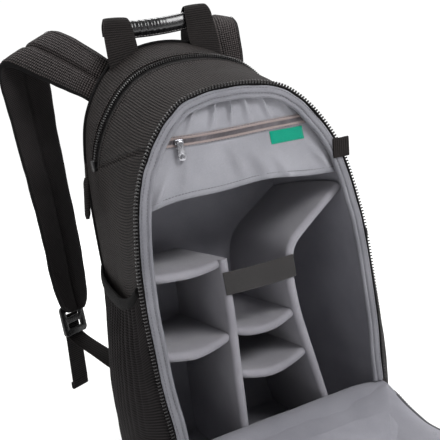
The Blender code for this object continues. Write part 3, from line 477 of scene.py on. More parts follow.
# Materials
class Shade:
    """A Principled material and short calls that add nodes to it."""

    def __init__(self, name, roughness, metallic=0.0, sheen=0.0, specular=0.4, coat=0.0):
        self.made = bpy.data.materials.new(name)
        self.made.use_nodes = True
        self.tree = self.made.node_tree
        self.shader = self.tree.nodes["Principled BSDF"]
        for socket, value in (
            ("Roughness", roughness), ("Metallic", metallic), ("Sheen Weight", sheen),
            ("Sheen Roughness", 0.5), ("Specular IOR Level", specular), ("Coat Weight", coat),
            ("Coat Roughness", 0.25),
        ):
            self.shader.inputs[socket].default_value = value
        coords = self.tree.nodes.new("ShaderNodeTexCoord")
        self.uv = coords.outputs["UV"]
        self.place = coords.outputs["Object"]
        split = self.tree.nodes.new("ShaderNodeSeparateXYZ")
        self.tree.links.new(self.uv, split.inputs[0])
        self.u, self.v = split.outputs[0], split.outputs[1]

    def put(self, value, socket):
        if isinstance(value, bpy.types.NodeSocket):
            self.tree.links.new(value, socket)
        else:
            socket.default_value = value

    def calc(self, operation, a, b=0.0, clamp=False):
        node = self.tree.nodes.new("ShaderNodeMath")
        node.operation = operation
        node.use_clamp = clamp
        self.put(a, node.inputs[0])
        self.put(b, node.inputs[1])
        return node.outputs[0]

    def noise(self, scale, detail=3.0):
        node = self.tree.nodes.new("ShaderNodeTexNoise")
        node.inputs["Scale"].default_value = scale
        node.inputs["Detail"].default_value = detail
        self.tree.links.new(self.place, node.inputs["Vector"])
        return node.outputs["Fac"]

    def ramp(self, factor, low, high, a=0.0, b=1.0):
        node = self.tree.nodes.new("ShaderNodeMapRange")
        self.put(factor, node.inputs["Value"])
        for socket, value in (("From Min", low), ("From Max", high), ("To Min", a), ("To Max", b)):
            node.inputs[socket].default_value = value
        return node.outputs["Result"]

    def mix(self, factor, a, b):
        node = self.tree.nodes.new("ShaderNodeMix")
        node.data_type = "RGBA"
        self.put(factor, node.inputs[0])
        self.put(a if isinstance(a, bpy.types.NodeSocket) else (*a, 1.0), node.inputs[6])
        self.put(b if isinstance(b, bpy.types.NodeSocket) else (*b, 1.0), node.inputs[7])
        return node.outputs[2]

    def wave(self, position, pitch):
        """The sine of a place, with a crest or a trough in each cell of the pitch."""
        turns = self.calc("MULTIPLY", position, math.pi / pitch)
        return self.calc("SINE", turns)

    def colour(self, value):
        self.put(value, self.shader.inputs["Base Color"])

    def rough(self, value):
        self.put(value, self.shader.inputs["Roughness"])

    def bump(self, *layers):
        """Each layer is a height from 0 to 1 and its depth in metres."""
        normal = None
        for height, distance in layers:
            node = self.tree.nodes.new("ShaderNodeBump")
            node.inputs["Strength"].default_value = 1.0
            node.inputs["Distance"].default_value = distance
            self.tree.links.new(height, node.inputs["Height"])
            if normal is not None:
                self.tree.links.new(normal, node.inputs["Normal"])
            normal = node.outputs["Normal"]
        self.tree.links.new(normal, self.shader.inputs["Normal"])


def basket(shade, cell_u, cell_v):
    """The height of a basket weave: crests of the thread that lies on top in each cell."""
    a = shade.wave(shade.u, cell_u)
    b = shade.wave(shade.v, cell_v)
    parity = shade.calc("GREATER_THAN", shade.calc("MULTIPLY", a, b), 0.0)
    warp = shade.calc("ABSOLUTE", a)
    weft = shade.calc("ABSOLUTE", b)
    over = shade.calc("MULTIPLY", parity, warp)
    under = shade.calc("MULTIPLY", shade.calc("SUBTRACT", 1.0, parity), weft)
    both = shade.calc("MULTIPLY", warp, weft)
    return shade.calc("MULTIPLY", shade.calc("ADD", over, under), shade.calc("POWER", both, 0.35))


def worn(shade, amount):
    """Edge wear from the mesh's own convex places."""
    geometry = shade.tree.nodes.new("ShaderNodeNewGeometry")
    edge = shade.ramp(geometry.outputs["Pointiness"], 0.52, 0.62)
    patches = shade.ramp(shade.noise(60.0), 0.45, 0.65)
    return shade.calc("MULTIPLY", shade.calc("MULTIPLY", edge, patches), amount)


def woven(name, dark, light, cell, depth, roughness, sheen, cell_v=None, wear=0.4, worn_colour=None):
    shade = Shade(name, roughness, sheen=sheen, specular=0.07)
    height = basket(shade, cell, cell_v or cell)
    fine = shade.noise(900.0, 2.0)
    cloudy = shade.ramp(shade.noise(22.0, 4.0), 0.3, 0.7, -0.125, 0.125)
    # The weave's crests are painted lighter and its dips darker. This is painted highlight and painted shade
    # on yarn of one colour; the weave's relief itself is real, and cloudy and fine add a random tone.
    factor = shade.calc("ADD", shade.ramp(height, 0.28, 0.78), cloudy)
    factor = shade.calc("ADD", factor, shade.ramp(fine, 0.3, 0.7, -0.16, 0.16), clamp=True)
    base = shade.mix(factor, dark, light)
    shade.colour(shade.mix(worn(shade, wear), base, worn_colour or tuple(c * 2.2 for c in light)))
    shade.rough(shade.ramp(cloudy, -0.2, 0.2, roughness - 0.06, roughness + 0.06))
    shade.bump((height, depth), (fine, depth * 0.3))
    return shade.made


def soft_cloth(name, dark, light, roughness, sheen, grain=0.00012, cell=0.0006):
    shade = Shade(name, roughness, sheen=sheen, specular=0.25)
    cloudy = shade.noise(18.0, 5.0)
    fibre = shade.noise(1400.0, 3.0)
    weave = basket(shade, cell, cell)
    factor = shade.calc(
        "ADD", shade.ramp(cloudy, 0.3, 0.7, 0.15, 0.85), shade.ramp(fibre, 0.3, 0.7, -0.2, 0.2)
    )
    # The fine weave's crests are painted a little lighter and its dips a little darker. This is a small
    # painted highlight and painted shade over the random tone.
    factor = shade.calc("ADD", factor, shade.ramp(weave, 0.0, 1.0, -0.06, 0.06), clamp=True)
    base = shade.mix(factor, dark, light)
    shade.colour(shade.mix(worn(shade, 0.25), base, tuple(min(1.0, c * 1.25) for c in light)))
    shade.rough(shade.ramp(cloudy, 0.3, 0.7, roughness - 0.05, roughness + 0.05))
    shade.bump((fibre, grain), (weave, grain * 0.6), (cloudy, 0.0006))
    return shade.made


def spacer_mesh(name, dark, light, pitch):
    """Mesh cloth: rows of small holes set off by half a pitch."""
    shade = Shade(name, 0.75, sheen=0.0, specular=0.06)
    a = shade.wave(shade.calc("ADD", shade.u, shade.v), pitch)
    b = shade.wave(shade.calc("SUBTRACT", shade.u, shade.v), pitch)
    hole = shade.calc("MULTIPLY", shade.calc("ABSOLUTE", a), shade.calc("ABSOLUTE", b))
    thread = shade.ramp(hole, 0.25, 0.75, 1.0, 0.0)
    cloudy = shade.ramp(shade.noise(30.0, 4.0), 0.3, 0.7, -0.15, 0.15)
    factor = shade.calc("ADD", thread, cloudy, clamp=True)
    base = shade.mix(factor, dark, light)
    shade.colour(shade.mix(worn(shade, 0.5), base, tuple(c * 2.5 for c in light)))
    shade.bump((thread, 0.0003))
    return shade.made


def moulded(name, colour, roughness, metallic=0.0):
    shade = Shade(name, roughness, metallic=metallic, specular=0.5)
    speck = shade.noise(700.0, 3.0)
    cloudy = shade.noise(40.0, 3.0)
    light = tuple(min(1.0, c * 1.35 + 0.004) for c in colour)
    base = shade.mix(shade.ramp(cloudy, 0.35, 0.65), colour, light)
    shade.colour(shade.mix(worn(shade, 0.5), base, tuple(min(1.0, c * 2.2 + 0.03) for c in colour)))
    shade.rough(shade.ramp(speck, 0.3, 0.7, roughness - 0.07, roughness + 0.07))
    shade.bump((speck, 0.00004))
    return shade.made


def leather(name):
    shade = Shade(name, 0.22, specular=0.55, coat=0.3)
    cells = shade.tree.nodes.new("ShaderNodeTexVoronoi")
    cells.feature = "DISTANCE_TO_EDGE"
    cells.inputs["Scale"].default_value = 700.0
    shade.tree.links.new(shade.place, cells.inputs["Vector"])
    grain = shade.ramp(cells.outputs["Distance"], 0.0, 0.12)
    cloudy = shade.noise(80.0, 3.0)
    base = shade.mix(shade.ramp(cloudy, 0.3, 0.7), (0.0035, 0.0035, 0.004), (0.009, 0.0088, 0.0095))
    shade.colour(shade.mix(worn(shade, 0.5), base, (0.10, 0.10, 0.10)))
    shade.rough(shade.ramp(cloudy, 0.3, 0.7, 0.16, 0.28))
    shade.bump((grain, 0.00002), (cloudy, 0.0001))
    return shade.made


BALLISTIC = woven(
    "ballistic", (0.0004, 0.0003, 0.0003), (0.053, 0.0455, 0.0440), 0.0029, 0.0012, 0.6, 0.0, cell_v=0.0025
)
STRAP_FACE = woven(
    "strap_face", (0.0006, 0.0005, 0.0005), (0.072, 0.0620, 0.0610), 0.0029, 0.0012, 0.6, 0.0, cell_v=0.0025
)
PLAIN_BLACK = woven(
    "plain_black", (0.002, 0.0019, 0.002), (0.009, 0.0085, 0.0088), 0.0006, 0.00015, 0.75, 0.01
)
WEBBING = woven(
    "webbing", (0.0022, 0.0019, 0.0018), (0.027, 0.0235, 0.0230), 0.0012, 0.0003, 0.62, 0.0, cell_v=0.0024
)
MESH = spacer_mesh("mesh", (0.0008, 0.0007, 0.0007), (0.024, 0.0215, 0.022), 0.0028)
LINING = soft_cloth("lining", (0.185, 0.183, 0.210), (0.275, 0.273, 0.305), 0.62, 0.12)
PANEL = soft_cloth("panel", (0.180, 0.180, 0.200), (0.285, 0.285, 0.312), 0.5, 0.1, cell=0.0004)
PAD = soft_cloth("pad", (0.185, 0.180, 0.202), (0.285, 0.278, 0.305), 0.85, 0.2, grain=0.00018)
BINDING = soft_cloth("binding", (0.130, 0.130, 0.148), (0.220, 0.220, 0.242), 0.7, 0.15, grain=0.0002)
# The flap's binding is the grey binding cloth painted darker: painted shade along the flap's edge.
FLAP_BINDING_SHADED = soft_cloth("flap_binding_painted_shade", (0.040, 0.040, 0.046), (0.075, 0.074, 0.083), 0.7, 0.1, grain=0.0002)
COIL = moulded("coil", (0.014, 0.013, 0.013), 0.2)
COIL_GREY = moulded("coil_grey", (0.085, 0.075, 0.082), 0.35)
TAPE_TAN = woven("tape_tan", (0.19, 0.155, 0.150), (0.31, 0.255, 0.245), 0.0006, 0.0001, 0.7, 0.2, wear=0.1)
METAL = moulded("metal", (0.22, 0.22, 0.235), 0.26, metallic=1.0)
PLASTIC = moulded("plastic", (0.005, 0.005, 0.0055), 0.3)
LEATHER = leather("leather")
LABEL = woven(
    "label", (0.0, 0.170, 0.110), (0.0, 0.285, 0.180), 0.0005, 0.0001, 0.6, 0.2, wear=0.1,
    worn_colour=(0.05, 0.5, 0.35)
)
HOOK_FACE = woven("hook_face", (0.018, 0.017, 0.017), (0.060, 0.057, 0.057), 0.0007, 0.0002, 0.8, 0.1)
THREAD = woven("thread", (0.16, 0.15, 0.15), (0.42, 0.40, 0.40), 0.0004, 0.0001, 0.7, 0.2)
THREAD_BLACK = woven("thread_black", (0.006, 0.006, 0.006), (0.034, 0.033, 0.034), 0.0004, 0.0001, 0.7, 0.1)
THREAD_GREY = woven("thread_grey", (0.10, 0.10, 0.11), (0.20, 0.20, 0.22), 0.0004, 0.0001, 0.7, 0.1)

STITCH = block_template((0.0024, 0.0007, 0.0005), 0.00022)


def stitches(name, path, outward, material, slot):
    """A row of stitches along a path, with their tops outwards."""
    frames = even_frames(path, outward, STITCH_PITCH, STITCH_PITCH / 2)
    turned = [(c, t, np.cross(o, t), o) for c, t, o, _ in frames]
    return finish_piece(copies(name, STITCH, turned, material), slot)


# Body
def crown_first():
    ring = ring2d(CROWN_ZIP_Y)
    return next(i for i in range(HALF) if ring[i, 1] > 0.335)


def crown_line(index):
    """Depth of the crown zip's middle at each point of the outline."""
    first = crown_first()
    turn = np.clip((index - first) / (COUNT - 2 * first), 0, 1)
    return CROWN_ZIP_Y - CROWN_ZIP_LEAN * np.sin(math.pi * turn)


def make_shell():
    ys = np.concatenate([
        np.linspace(FRONT_Y, CROWN_ZIP_Y - 0.032, 40),
        np.linspace(CROWN_ZIP_Y - 0.031, CROWN_ZIP_Y + 0.014, 40),
        np.linspace(CROWN_ZIP_Y + 0.016, REAR_Y, 20),
    ])
    outer = np.array([body(y) for y in ys])
    normal = grid_normals(outer)
    centre = outer.mean((0, 1))
    flip = np.sign(np.sum((outer - centre) * normal, 2).mean())
    normal = normal * flip
    slack = 0.0011 * bumps(outer, 16.0, 3.0) + 0.0005 * bumps(outer, 55.0, 9.0)
    ends = np.clip((ys - FRONT_Y) / 0.02, 0, 1) * np.clip((REAR_Y - ys) / 0.015, 0, 1)
    lift = slack * ends[:, None]
    height = outer[:, :, 2]
    seam_height = np.interp(ys, (FRONT_Y, 0.026), (0.343, 0.333))
    run = np.abs(height - seam_height[:, None])
    groove = np.exp(-((run / 0.0011) ** 2)) * 0.0013
    swell = np.exp(-(((run - 0.004) / 0.003) ** 2)) * 0.0007
    zone = (ys < CROWN_ZIP_Y - 0.003)[:, None] * 1.0
    lift += (swell - groove) * zone
    ahead = ys[:, None] - crown_line(np.arange(COUNT))[None, :]
    zone = np.clip((height - 0.325) / 0.01, 0, 1)
    lift -= zone * np.exp(-((ahead / 0.0088) ** 6)) * 0.0012
    outer = outer + normal * lift[:, :, None]
    outer[:, :, 2] = np.maximum(outer[:, :, 2], 0.0)
    inner = np.array([body(y, SHELL_WALL * 0.9) for y in ys])
    rings = np.concatenate([outer, inner[::-1]], 0)
    piece = loft("shell_cloth", rings, [BALLISTIC], closed_v=True, smooth_angle=60)
    finish_piece(piece, "ballistic_fabric", "outer_shell")
    rows = [k for k in range(len(ys)) if FRONT_Y + 0.004 < ys[k] < CROWN_ZIP_Y - 0.006]
    for side, start, stop in (("left", 0, HALF - PER_ROW), ("right", COUNT - 1, HALF + PER_ROW)):
        step = 1 if side == "left" else -1
        path, out = [], []
        for row in rows:
            columns = np.arange(start, stop, step)
            level = outer[row, columns, 2]
            place = columns[np.argmax(level > seam_height[row] + 0.004)]
            path.append(outer[row, place])
            out.append(normal[row, place])
        stitches("seam_stitch_" + side, np.array(path), np.array(out), THREAD_BLACK, "plain_black_fabric")


make_shell()


def rung_grid(ring, columns):
    """A grid over the inside of a ring that is the same on both sides."""
    left = ring[: HALF + 1]
    right = np.concatenate([ring[:1], ring[:HALF - 1:-1]])
    shares = np.linspace(0, 1, columns)[None, :, None]
    return left[:, None, :] * (1 - shares) + right[:, None, :] * shares


def make_lining():
    ys = np.concatenate(
        [np.linspace(FRONT_Y, FRONT_Y + 0.012, 8), np.linspace(FRONT_Y + 0.016, LINING_BACK_Y, 34)]
    )
    inner = np.array([body(y, LINING_INNER) for y in ys])
    wrinkle = 0.0013 * bumps(
        inner * np.array([1.0, 0.45, 1.0]), 30.0, 5.0
    ) + 0.0006 * bumps(inner, 90.0, 2.0)
    fade = np.clip((ys - FRONT_Y) / 0.012, 0, 1)[:, None]
    insets = LINING_INNER + np.clip(wrinkle * fade, -0.001, 0.0014)
    inner = np.array([body(y, insets[k]) for k, y in enumerate(ys)])
    outer = np.array([body(y, LINING_OUTER) for y in ys])
    rings = np.concatenate([inner, outer[::-1]], 0)
    finish_piece(
        loft("lining_wall", rings, [LINING], closed_v=True), "grey_lining", "padded_lining", fill=0.4
    )
    front = rung_grid(body(LINING_BACK_Y, LINING_INNER - 0.002), 60)
    front[:, :, 1] -= 0.0004 + 0.0012 * np.clip(bumps(front, 25.0, 7.0), -0.2, 1)
    back = front.copy()
    back[:, :, 1] = REAR_Y - 0.001
    finish_piece(slab("lining_back", front, back, [LINING]), "grey_lining")


make_lining()


def ring_strip(name, first, last, y_at, profile, materials, waver=None):
    """A strip along the body's outline, with the section given as (inset, to the rear)."""
    index = np.arange(first, last + 1) % COUNT
    columns = []
    for inset, rear in profile:
        extra = waver[index] if waver is not None else 0.0
        ring = ring2d(y_at + rear, 0.0)
        normal = inward(ring)
        points = ring[index] + normal[index] * np.reshape(inset + extra, (-1, 1))
        columns.append(at_depth(points, y_at + rear))
    return loft(name, np.stack(columns, 1), materials)


def crown_path(index, outside, rear):
    """Points above the crown zip's line, and the way out of the body at each."""
    ys = np.linspace(CROWN_ZIP_Y - 0.032, CROWN_ZIP_Y + 0.016, 64)
    rings = np.array([ring2d(y) for y in ys])
    inside = np.array([inward(ring) for ring in rings])
    y = crown_line(index) + rear
    place = np.clip((y - ys[0]) / (ys[1] - ys[0]), 0, 62.999)
    row, share = place.astype(int), (place % 1)[:, None]
    ring = rings[row, index] * (1 - share) + rings[row + 1, index] * share
    out = -(inside[row, index] * (1 - share) + inside[row + 1, index] * share)
    point = ring + out * outside
    return np.stack([point[:, 0], y, point[:, 1]], 1), np.stack([out[:, 0], y * 0, out[:, 1]], 1)


def crown_strip(name, index, profile, materials):
    """A strip along the crown zip, with the section given as (outside, to the rear)."""
    columns = [crown_path(index, outside, rear)[0] for outside, rear in profile]
    return loft(name, np.stack(columns, 1), materials)


def make_opening_edge():
    first, last = 4 * PER_ROW, COUNT - 4 * PER_ROW
    index = np.arange(first, last + 1)
    seat = FRONT_Y - GAP
    tape = spline(
        [
            (0.0004, 0), (0.0006, -0.0012), (0.0022, -0.0013), (0.0045, -0.0008), (0.0068, -0.0012),
            (0.0072, 0)
        ],
        14
    )
    finish_piece(
        ring_strip("opening_tape", first, last, seat, tape, [PLAIN_BLACK]), "plain_black_fabric",
        "opening_zip_tape"
    )
    ripple = 0.0011 * np.array([noise.noise(Vector((k * 0.10, 0.3, 4.0))) for k in range(COUNT)])
    roll = spline(
        [
            (0.0030, -0.0016), (0.0034, -0.0026), (0.0060, -0.0034), (0.0088, -0.0030),
            (0.0102, -0.0018), (0.0120, -0.0032), (0.0142, -0.0024), (0.0148, 0.0004),
            (0.0140, 0.0026), (0.0095, 0.0022), (0.0060, -0.0006),
        ],
        34, closed=True,
    )
    piece = ring_strip("opening_roll", first, last, seat, roll, [BINDING], waver=ripple)
    finish_piece(piece, "grey_binding", "opening_binding")
    ring = ring2d(FRONT_Y)
    normal = inward(ring)
    path = at_depth(ring - normal * 0.0005, seat - 0.0015)[index]
    outward = at_depth(-normal, 0.0)[index]
    tooth = block_template((0.0017, 0.0036, 0.0026), 0.0007)
    frames = even_frames(path, outward, TOOTH_PITCH)
    teeth = copies("opening_teeth", tooth, frames, COIL)
    finish_piece(teeth, "zip_coil", "opening_zip_teeth")
    cord = spline([(-0.0002, 0), (-0.0002, -0.0014), (0.0012, -0.0022), (0.0020, -0.0012), (0.0018, 0)], 12)
    finish_piece(
        ring_strip("opening_coil_core", first, last, seat, cord, [PLAIN_BLACK]), "plain_black_fabric"
    )
    path = at_depth(ring + normal * 0.0102, seat - 0.0021)[index]
    front = facing_front(len(index))
    stitches("opening_stitch", path, front, THREAD_GREY, "grey_binding")
    path = at_depth(ring + normal * 0.0050, seat - 0.0033)[index]
    stitches("tape_stitch", path, front, THREAD_GREY, "grey_binding")


make_opening_edge()


def make_crown_zip():
    first = crown_first()
    index = np.arange(first, COUNT - first + 1)
    lip = [
        (-0.8, -0.0150), (0.2, -0.0142), (0.8, -0.0125), (1.0, -0.0103), (0.7, -0.0088), (0.0, -0.0084),
        (-0.7, -0.0092)
    ]
    for side, sign, rise in (("front", 1, 0.0009), ("rear", -1, 0.0021)):
        profile = spline([(a * rise if a > 0 else a * 0.0012, sign * b) for a, b in lip], 24, closed=True)
        finish_piece(crown_strip("crown_lip_" + side, index, profile, [BALLISTIC]), "ballistic_fabric")
    tape = [(-0.0012, -0.0094), (0.0001, -0.0094), (0.0001, 0.0094), (-0.0012, 0.0094)]
    finish_piece(crown_strip("crown_tape", index, tape, [PLAIN_BLACK]), "plain_black_fabric")
    path, outward = crown_path(index, 0.0014, 0.0)
    element = block_template((0.0015, 0.0032, 0.0066), 0.0008)
    frames = even_frames(path, outward, 0.0026)
    finish_piece(copies("crown_coil", element, frames, COIL), "zip_coil", "crown_zip")
    for name, shift, rise in (("a", -0.0120, 0.0009), ("b", 0.0120, 0.0020)):
        path, outward = crown_path(index, rise, shift)
        stitches("crown_stitch_" + name, path, outward, THREAD_BLACK, "plain_black_fabric")


make_crown_zip()


# Dividers
def divider_path(shares):
    return np.array([(RIM_HALF_WIDTH * x, RIM_TOP * z) for x, z in shares])


RIGHT_PATH = divider_path(
    ((0.492, 0.0), (0.297, 0.384), (0.281, 0.499), (0.328, 0.573), (0.516, 0.616), (0.719, 0.660))
)
LEFT_PATH = divider_path(((-0.359, 0.0), (-0.312, 0.281), (-0.281, 0.422), (-0.266, 0.578)))


def path_x(path, z):
    return np.interp(z, path[:4, 1], path[:4, 0])


def divider_section(line, half, swell):
    """A closed section round a line in the x and z plane."""
    along = np.gradient(line, axis=0)
    along /= np.linalg.norm(along, axis=1, keepdims=True)
    normal = np.stack([-along[:, 1], along[:, 0]], 1)
    width = half * (1 + swell)
    near, far = line + normal * width[:, None], line - normal * width[:, None]
    return np.concatenate([near, far[::-1]])


def edge_stations(front, back):
    """Depths and thickness shares: a rounded front edge, then the flat."""
    turns = np.linspace(0, math.pi / 2, 7)
    stations = [(front + 0.0045 * (1 - math.cos(t)), max(math.sin(t), 0.06)) for t in turns]
    return stations + [(y, 1.0) for y in np.linspace(front + 0.009, back, 18)]


def make_divider(name, line_at, front, node, slump=0.0, seed=0.0):
    rings = []
    for y, share in edge_stations(front, LINING_BACK_Y - 0.0006):
        line = line_at(y)
        u = np.linspace(0, 1, len(line))
        depth = (y - front) / 0.13
        swell = 0.10 * np.sin(math.pi * u) + 0.08 * math.sin(math.pi * min(depth * 1.5, 1.0))
        half = DIVIDER_THICKNESS / 2 * share * 0.97
        section = divider_section(line, half, swell)
        ring = at_depth(section, y)
        ring[:, 2] -= slump * math.exp(-((y - front) / 0.012)) * np.sin(
            math.pi * np.concatenate([u, u[::-1]])
        )
        rings.append(ring)
    rings = np.array(rings)
    drift = bumps(rings, 28.0, seed) * 0.0012 + bumps(rings, 80.0, seed + 3) * 0.0005
    spread = np.sin(math.pi * np.linspace(0, 1, rings.shape[1] // 2))
    spread = np.concatenate([spread, spread[::-1]])
    rings[:, :, 2] += drift * spread[None, :]
    rings[:, :, 0] += drift * 0.6 * spread[None, :]
    rings[:, :, 1] += np.clip(drift, -0.001, 0.001) * spread[None, :] * (np.arange(len(rings)) < 9)[:, None]
    return finish_piece(
        loft(name, rings, [PAD], caps="rungs", smooth_angle=70), "grey_divider", node, fill=0.5
    )


def long_line(path, meets_wall):
    def line_at(y):
        foot = floor_z(y, LINING_INNER) + GAP * 2
        points = path.copy()
        points[0] = (path_x(path, foot), foot)
        if meets_wall:
            along = points[-1] - points[-2]
            along /= np.linalg.norm(along)
            end = points[-1].copy()
            for _ in range(12):
                end += along * (wall_x(y, end[1], LINING_INNER) - 0.0015 - end[0])
            points = np.concatenate([points[:-1], [points[-2] + (end - points[-2]) * 0.5], [end]])
        reach = np.concatenate([[0.0], np.cumsum(np.linalg.norm(np.diff(points, axis=0), axis=1))])
        even = np.linspace(0, reach[-1], 60)
        line = np.stack([np.interp(even, reach, points[:, 0]), np.interp(even, reach, points[:, 1])], 1)
        for _ in range(10):
            line[1:-1] = (line[:-2] + line[1:-1] * 2 + line[2:]) / 4
        return line

    return line_at


def column_ends(column, y, z):
    reach = DIVIDER_THICKNESS / 2
    if column == "left":
        return -wall_x(y, z, LINING_INNER) + 0.0006, path_x(LEFT_PATH, z) - reach
    if column == "middle":
        return path_x(LEFT_PATH, z) + reach, path_x(RIGHT_PATH, z) - reach
    wall = wall_x(y, z, LINING_INNER) - 0.0006
    return -wall, wall


def cross_line(column, left, right, sag):
    def line_at(y):
        line = []
        for u in np.linspace(0, 1, 28):
            z = left + (right - left) * u - sag * 4 * u * (1 - u)
            start, end = column_ends(column, y, z)
            line.append((start + (end - start) * u, z))
        return np.array(line)

    return line_at


def make_dividers():
    make_divider(
        "left_divider_pad", long_line(LEFT_PATH, False), DIVIDER_FRONT_Y, "left_long_divider", seed=1.0
    )
    make_divider(
        "right_divider_pad", long_line(RIGHT_PATH, True), DIVIDER_FRONT_Y, "right_long_divider", seed=4.0
    )
    rows = (
        ("left_upper", "left", 0.578, 0.568, 0.33, 0.003),
        ("left_lower", "left", 0.386, 0.376, 0.67, 0.004),
        ("middle_upper", "middle", 0.386, 0.389, 0.56, 0.003),
        ("middle_lower", "middle", 0.271, 0.276, 0.67, 0.003),
    )
    for k, (name, column, left, right, sag, slump) in enumerate(rows):
        line = cross_line(column, RIM_TOP * left, RIM_TOP * right, DIVIDER_THICKNESS * sag)
        make_divider(name + "_pad", line, DIVIDER_FRONT_Y + 0.004, name + "_divider", slump, 7.0 + k)
    middle = PANEL_EDGE_HEIGHT + DIVIDER_THICKNESS / 2
    shelf = cross_line("whole", middle, middle, -PANEL_ARCH)
    make_divider("shelf_pad", shelf, PANEL_Y + 0.0022, "upper_shelf", 0.0, 13.0)


make_dividers()


# Upper pocket
def panel_lift(x, z):
    """How far the pocket's cloth stands forward, with the pulls that run from its seams."""
    zip_near = np.exp(-(((z - POCKET_ZIP_HEIGHT) / 0.008) ** 2))
    low = np.exp(-(((z - 0.313) / 0.016) ** 2)) * (1 - (x / 0.12) ** 2) * 0.0022
    high = np.exp(-(((z - 0.370) / 0.010) ** 2)) * 0.0012
    folds = np.zeros_like(x)
    for x_top, x_low, width, depth in (
        (-0.018, -0.026, 0.0030, 0.0020), (-0.004, -0.004, 0.0024, 0.0018), (0.010, 0.016, 0.0035, 0.0016),
        (0.026, 0.040, 0.0030, 0.0017), (-0.036, -0.052, 0.0030, 0.0014), (0.044, 0.066, 0.0028, 0.0012),
    ):
        share = np.clip((0.385 - z) / 0.034, 0, 1.3)
        middle = x_top + (x_low - x_top) * share
        folds += 1.25 * depth * np.exp(
            -(((x - middle) / (width * (0.5 + 0.6 * share))) ** 2)
        ) * np.clip(1.25 - share, 0, 1)
    for x_at, z_at, lean, width, depth in (
        (-0.006, 0.318, 0.25, 0.006, 0.0016), (0.018, 0.312, 0.4, 0.007, 0.0014),
        (-0.060, 0.315, -0.3, 0.006, 0.0012),
        (0.046, 0.300, 0.5, 0.006, 0.0014), (-0.090, 0.300, -0.6, 0.005, 0.0014),
        (0.090, 0.304, 0.7, 0.005, 0.0014),
    ):
        across = (x - x_at) - lean * (z_at - z)
        folds += depth * np.exp(-((across / width) ** 2)) * np.exp(-(((z - z_at) / 0.015) ** 2))
    return (low + high + folds * 3.0) * (1 - zip_near)


def make_pocket():
    y = PANEL_Y
    clearance = LINING_INNER - 0.0012
    top = ring2d(y, clearance)[HALF, 1]
    grid = []
    for t in np.linspace(0, 1, 70):
        u = np.linspace(-1, 1, 110)
        low = PANEL_EDGE_HEIGHT + PANEL_ARCH * (1 - u * u) * 0.8 + 0.0012 * np.sin(u * 7.0)
        z = low + (top - low) * t
        half = np.maximum(wall_x(y, np.minimum(z, top), clearance), 0.0005)
        grid.append(np.stack([u * half, np.full_like(u, y), z], 1))
    grid = np.array(grid)
    lift = panel_lift(grid[:, :, 0], grid[:, :, 2]) + 0.0004 * bumps(grid, 60.0, 3.0)
    front = grid.copy()
    front[:, :, 1] -= lift
    curl = np.linspace(0, 1, 70)[:, None] * 0.11
    front[:, :, 1] += 0.0016 * np.exp(-((curl / 0.0022) ** 2))
    back = grid.copy()
    back[:, :, 1] = np.maximum(back[:, :, 1] + 0.0012, front[:, :, 1] + 0.0008)
    finish_piece(slab("pocket_cloth", front, back, [PANEL], 70), "grey_lining", "pocket_panel")
    edge = front[3]
    stitches(
        "pocket_hem_stitch", edge + np.array([0, -0.0003, 0.0016]), facing_front(len(edge)), THREAD_GREY,
        "grey_lining"
    )

    reach = wall_x(y, POCKET_ZIP_HEIGHT + 0.004, LINING_INNER) - 0.0012
    xs = np.linspace(-reach, reach, 120)
    sway = 0.0006 * np.sin(xs * 40.0) + 0.0012 * (xs / reach) ** 2
    for name, z_low, z_high, nodes in (
        ("low", -0.0048, -0.0019, ("pocket_zip",)),
        ("high", 0.0019, 0.0054, ()),
    ):
        rows = []
        for k, z in enumerate(np.linspace(z_low, z_high, 8)):
            depth = np.full_like(xs, y - 0.0010 - 0.0003 * math.sin(math.pi * k / 7))
            rows.append(np.stack([xs, depth, POCKET_ZIP_HEIGHT + z + sway], 1))
        front = np.array(rows)
        back = front + np.array([0, 0.0008, 0])
        finish_piece(slab("pocket_tape_" + name, front, back, [TAPE_TAN]), "pocket_zip_tape", *nodes)
    path = np.stack([xs, np.full_like(xs, y - 0.0011), POCKET_ZIP_HEIGHT + sway], 1)
    front_way = facing_front(len(xs))
    element = block_template((0.0010, 0.0016, 0.0040), 0.0005)
    frames = even_frames(path, front_way, 0.0014)
    finish_piece(copies("pocket_coil", element, frames, COIL_GREY), "pocket_zip_tape")
    for name, shift in (("low", -0.0046), ("high", 0.0046)):
        stitches(
            "pocket_stitch_" + name, path + np.array([0, -0.0003, shift]), front_way, THREAD_GREY,
            "grey_lining"
        )

    label_z = POCKET_ZIP_HEIGHT - 0.0045 - 0.001 - 0.0065
    u, v = np.meshgrid(np.linspace(-0.5, 0.5, 40), np.linspace(-0.5, 0.5, 16))
    x = LABEL_X + u * LABEL_LENGTH
    z = label_z + v * LABEL_HEIGHT
    rise = 0.0009 * (1 - (2 * np.abs(v)) ** 6) * (1 - (2 * np.abs(u)) ** 12)
    front = np.stack([x, y - 0.0006 - panel_lift(x, z) * 0.9 - rise, z], 2)
    back = np.stack([x, np.full_like(x, y - 0.0002), z], 2)
    finish_piece(slab("label_cloth", front, back, [LABEL]), "label_fabric", "pocket_label")


make_pocket()


def circle(radius, centre):
    turns = [math.tau * k / 20 for k in range(20)]
    return [(centre[0] + radius * math.cos(a), centre[1] + radius * math.sin(a)) for a in turns]


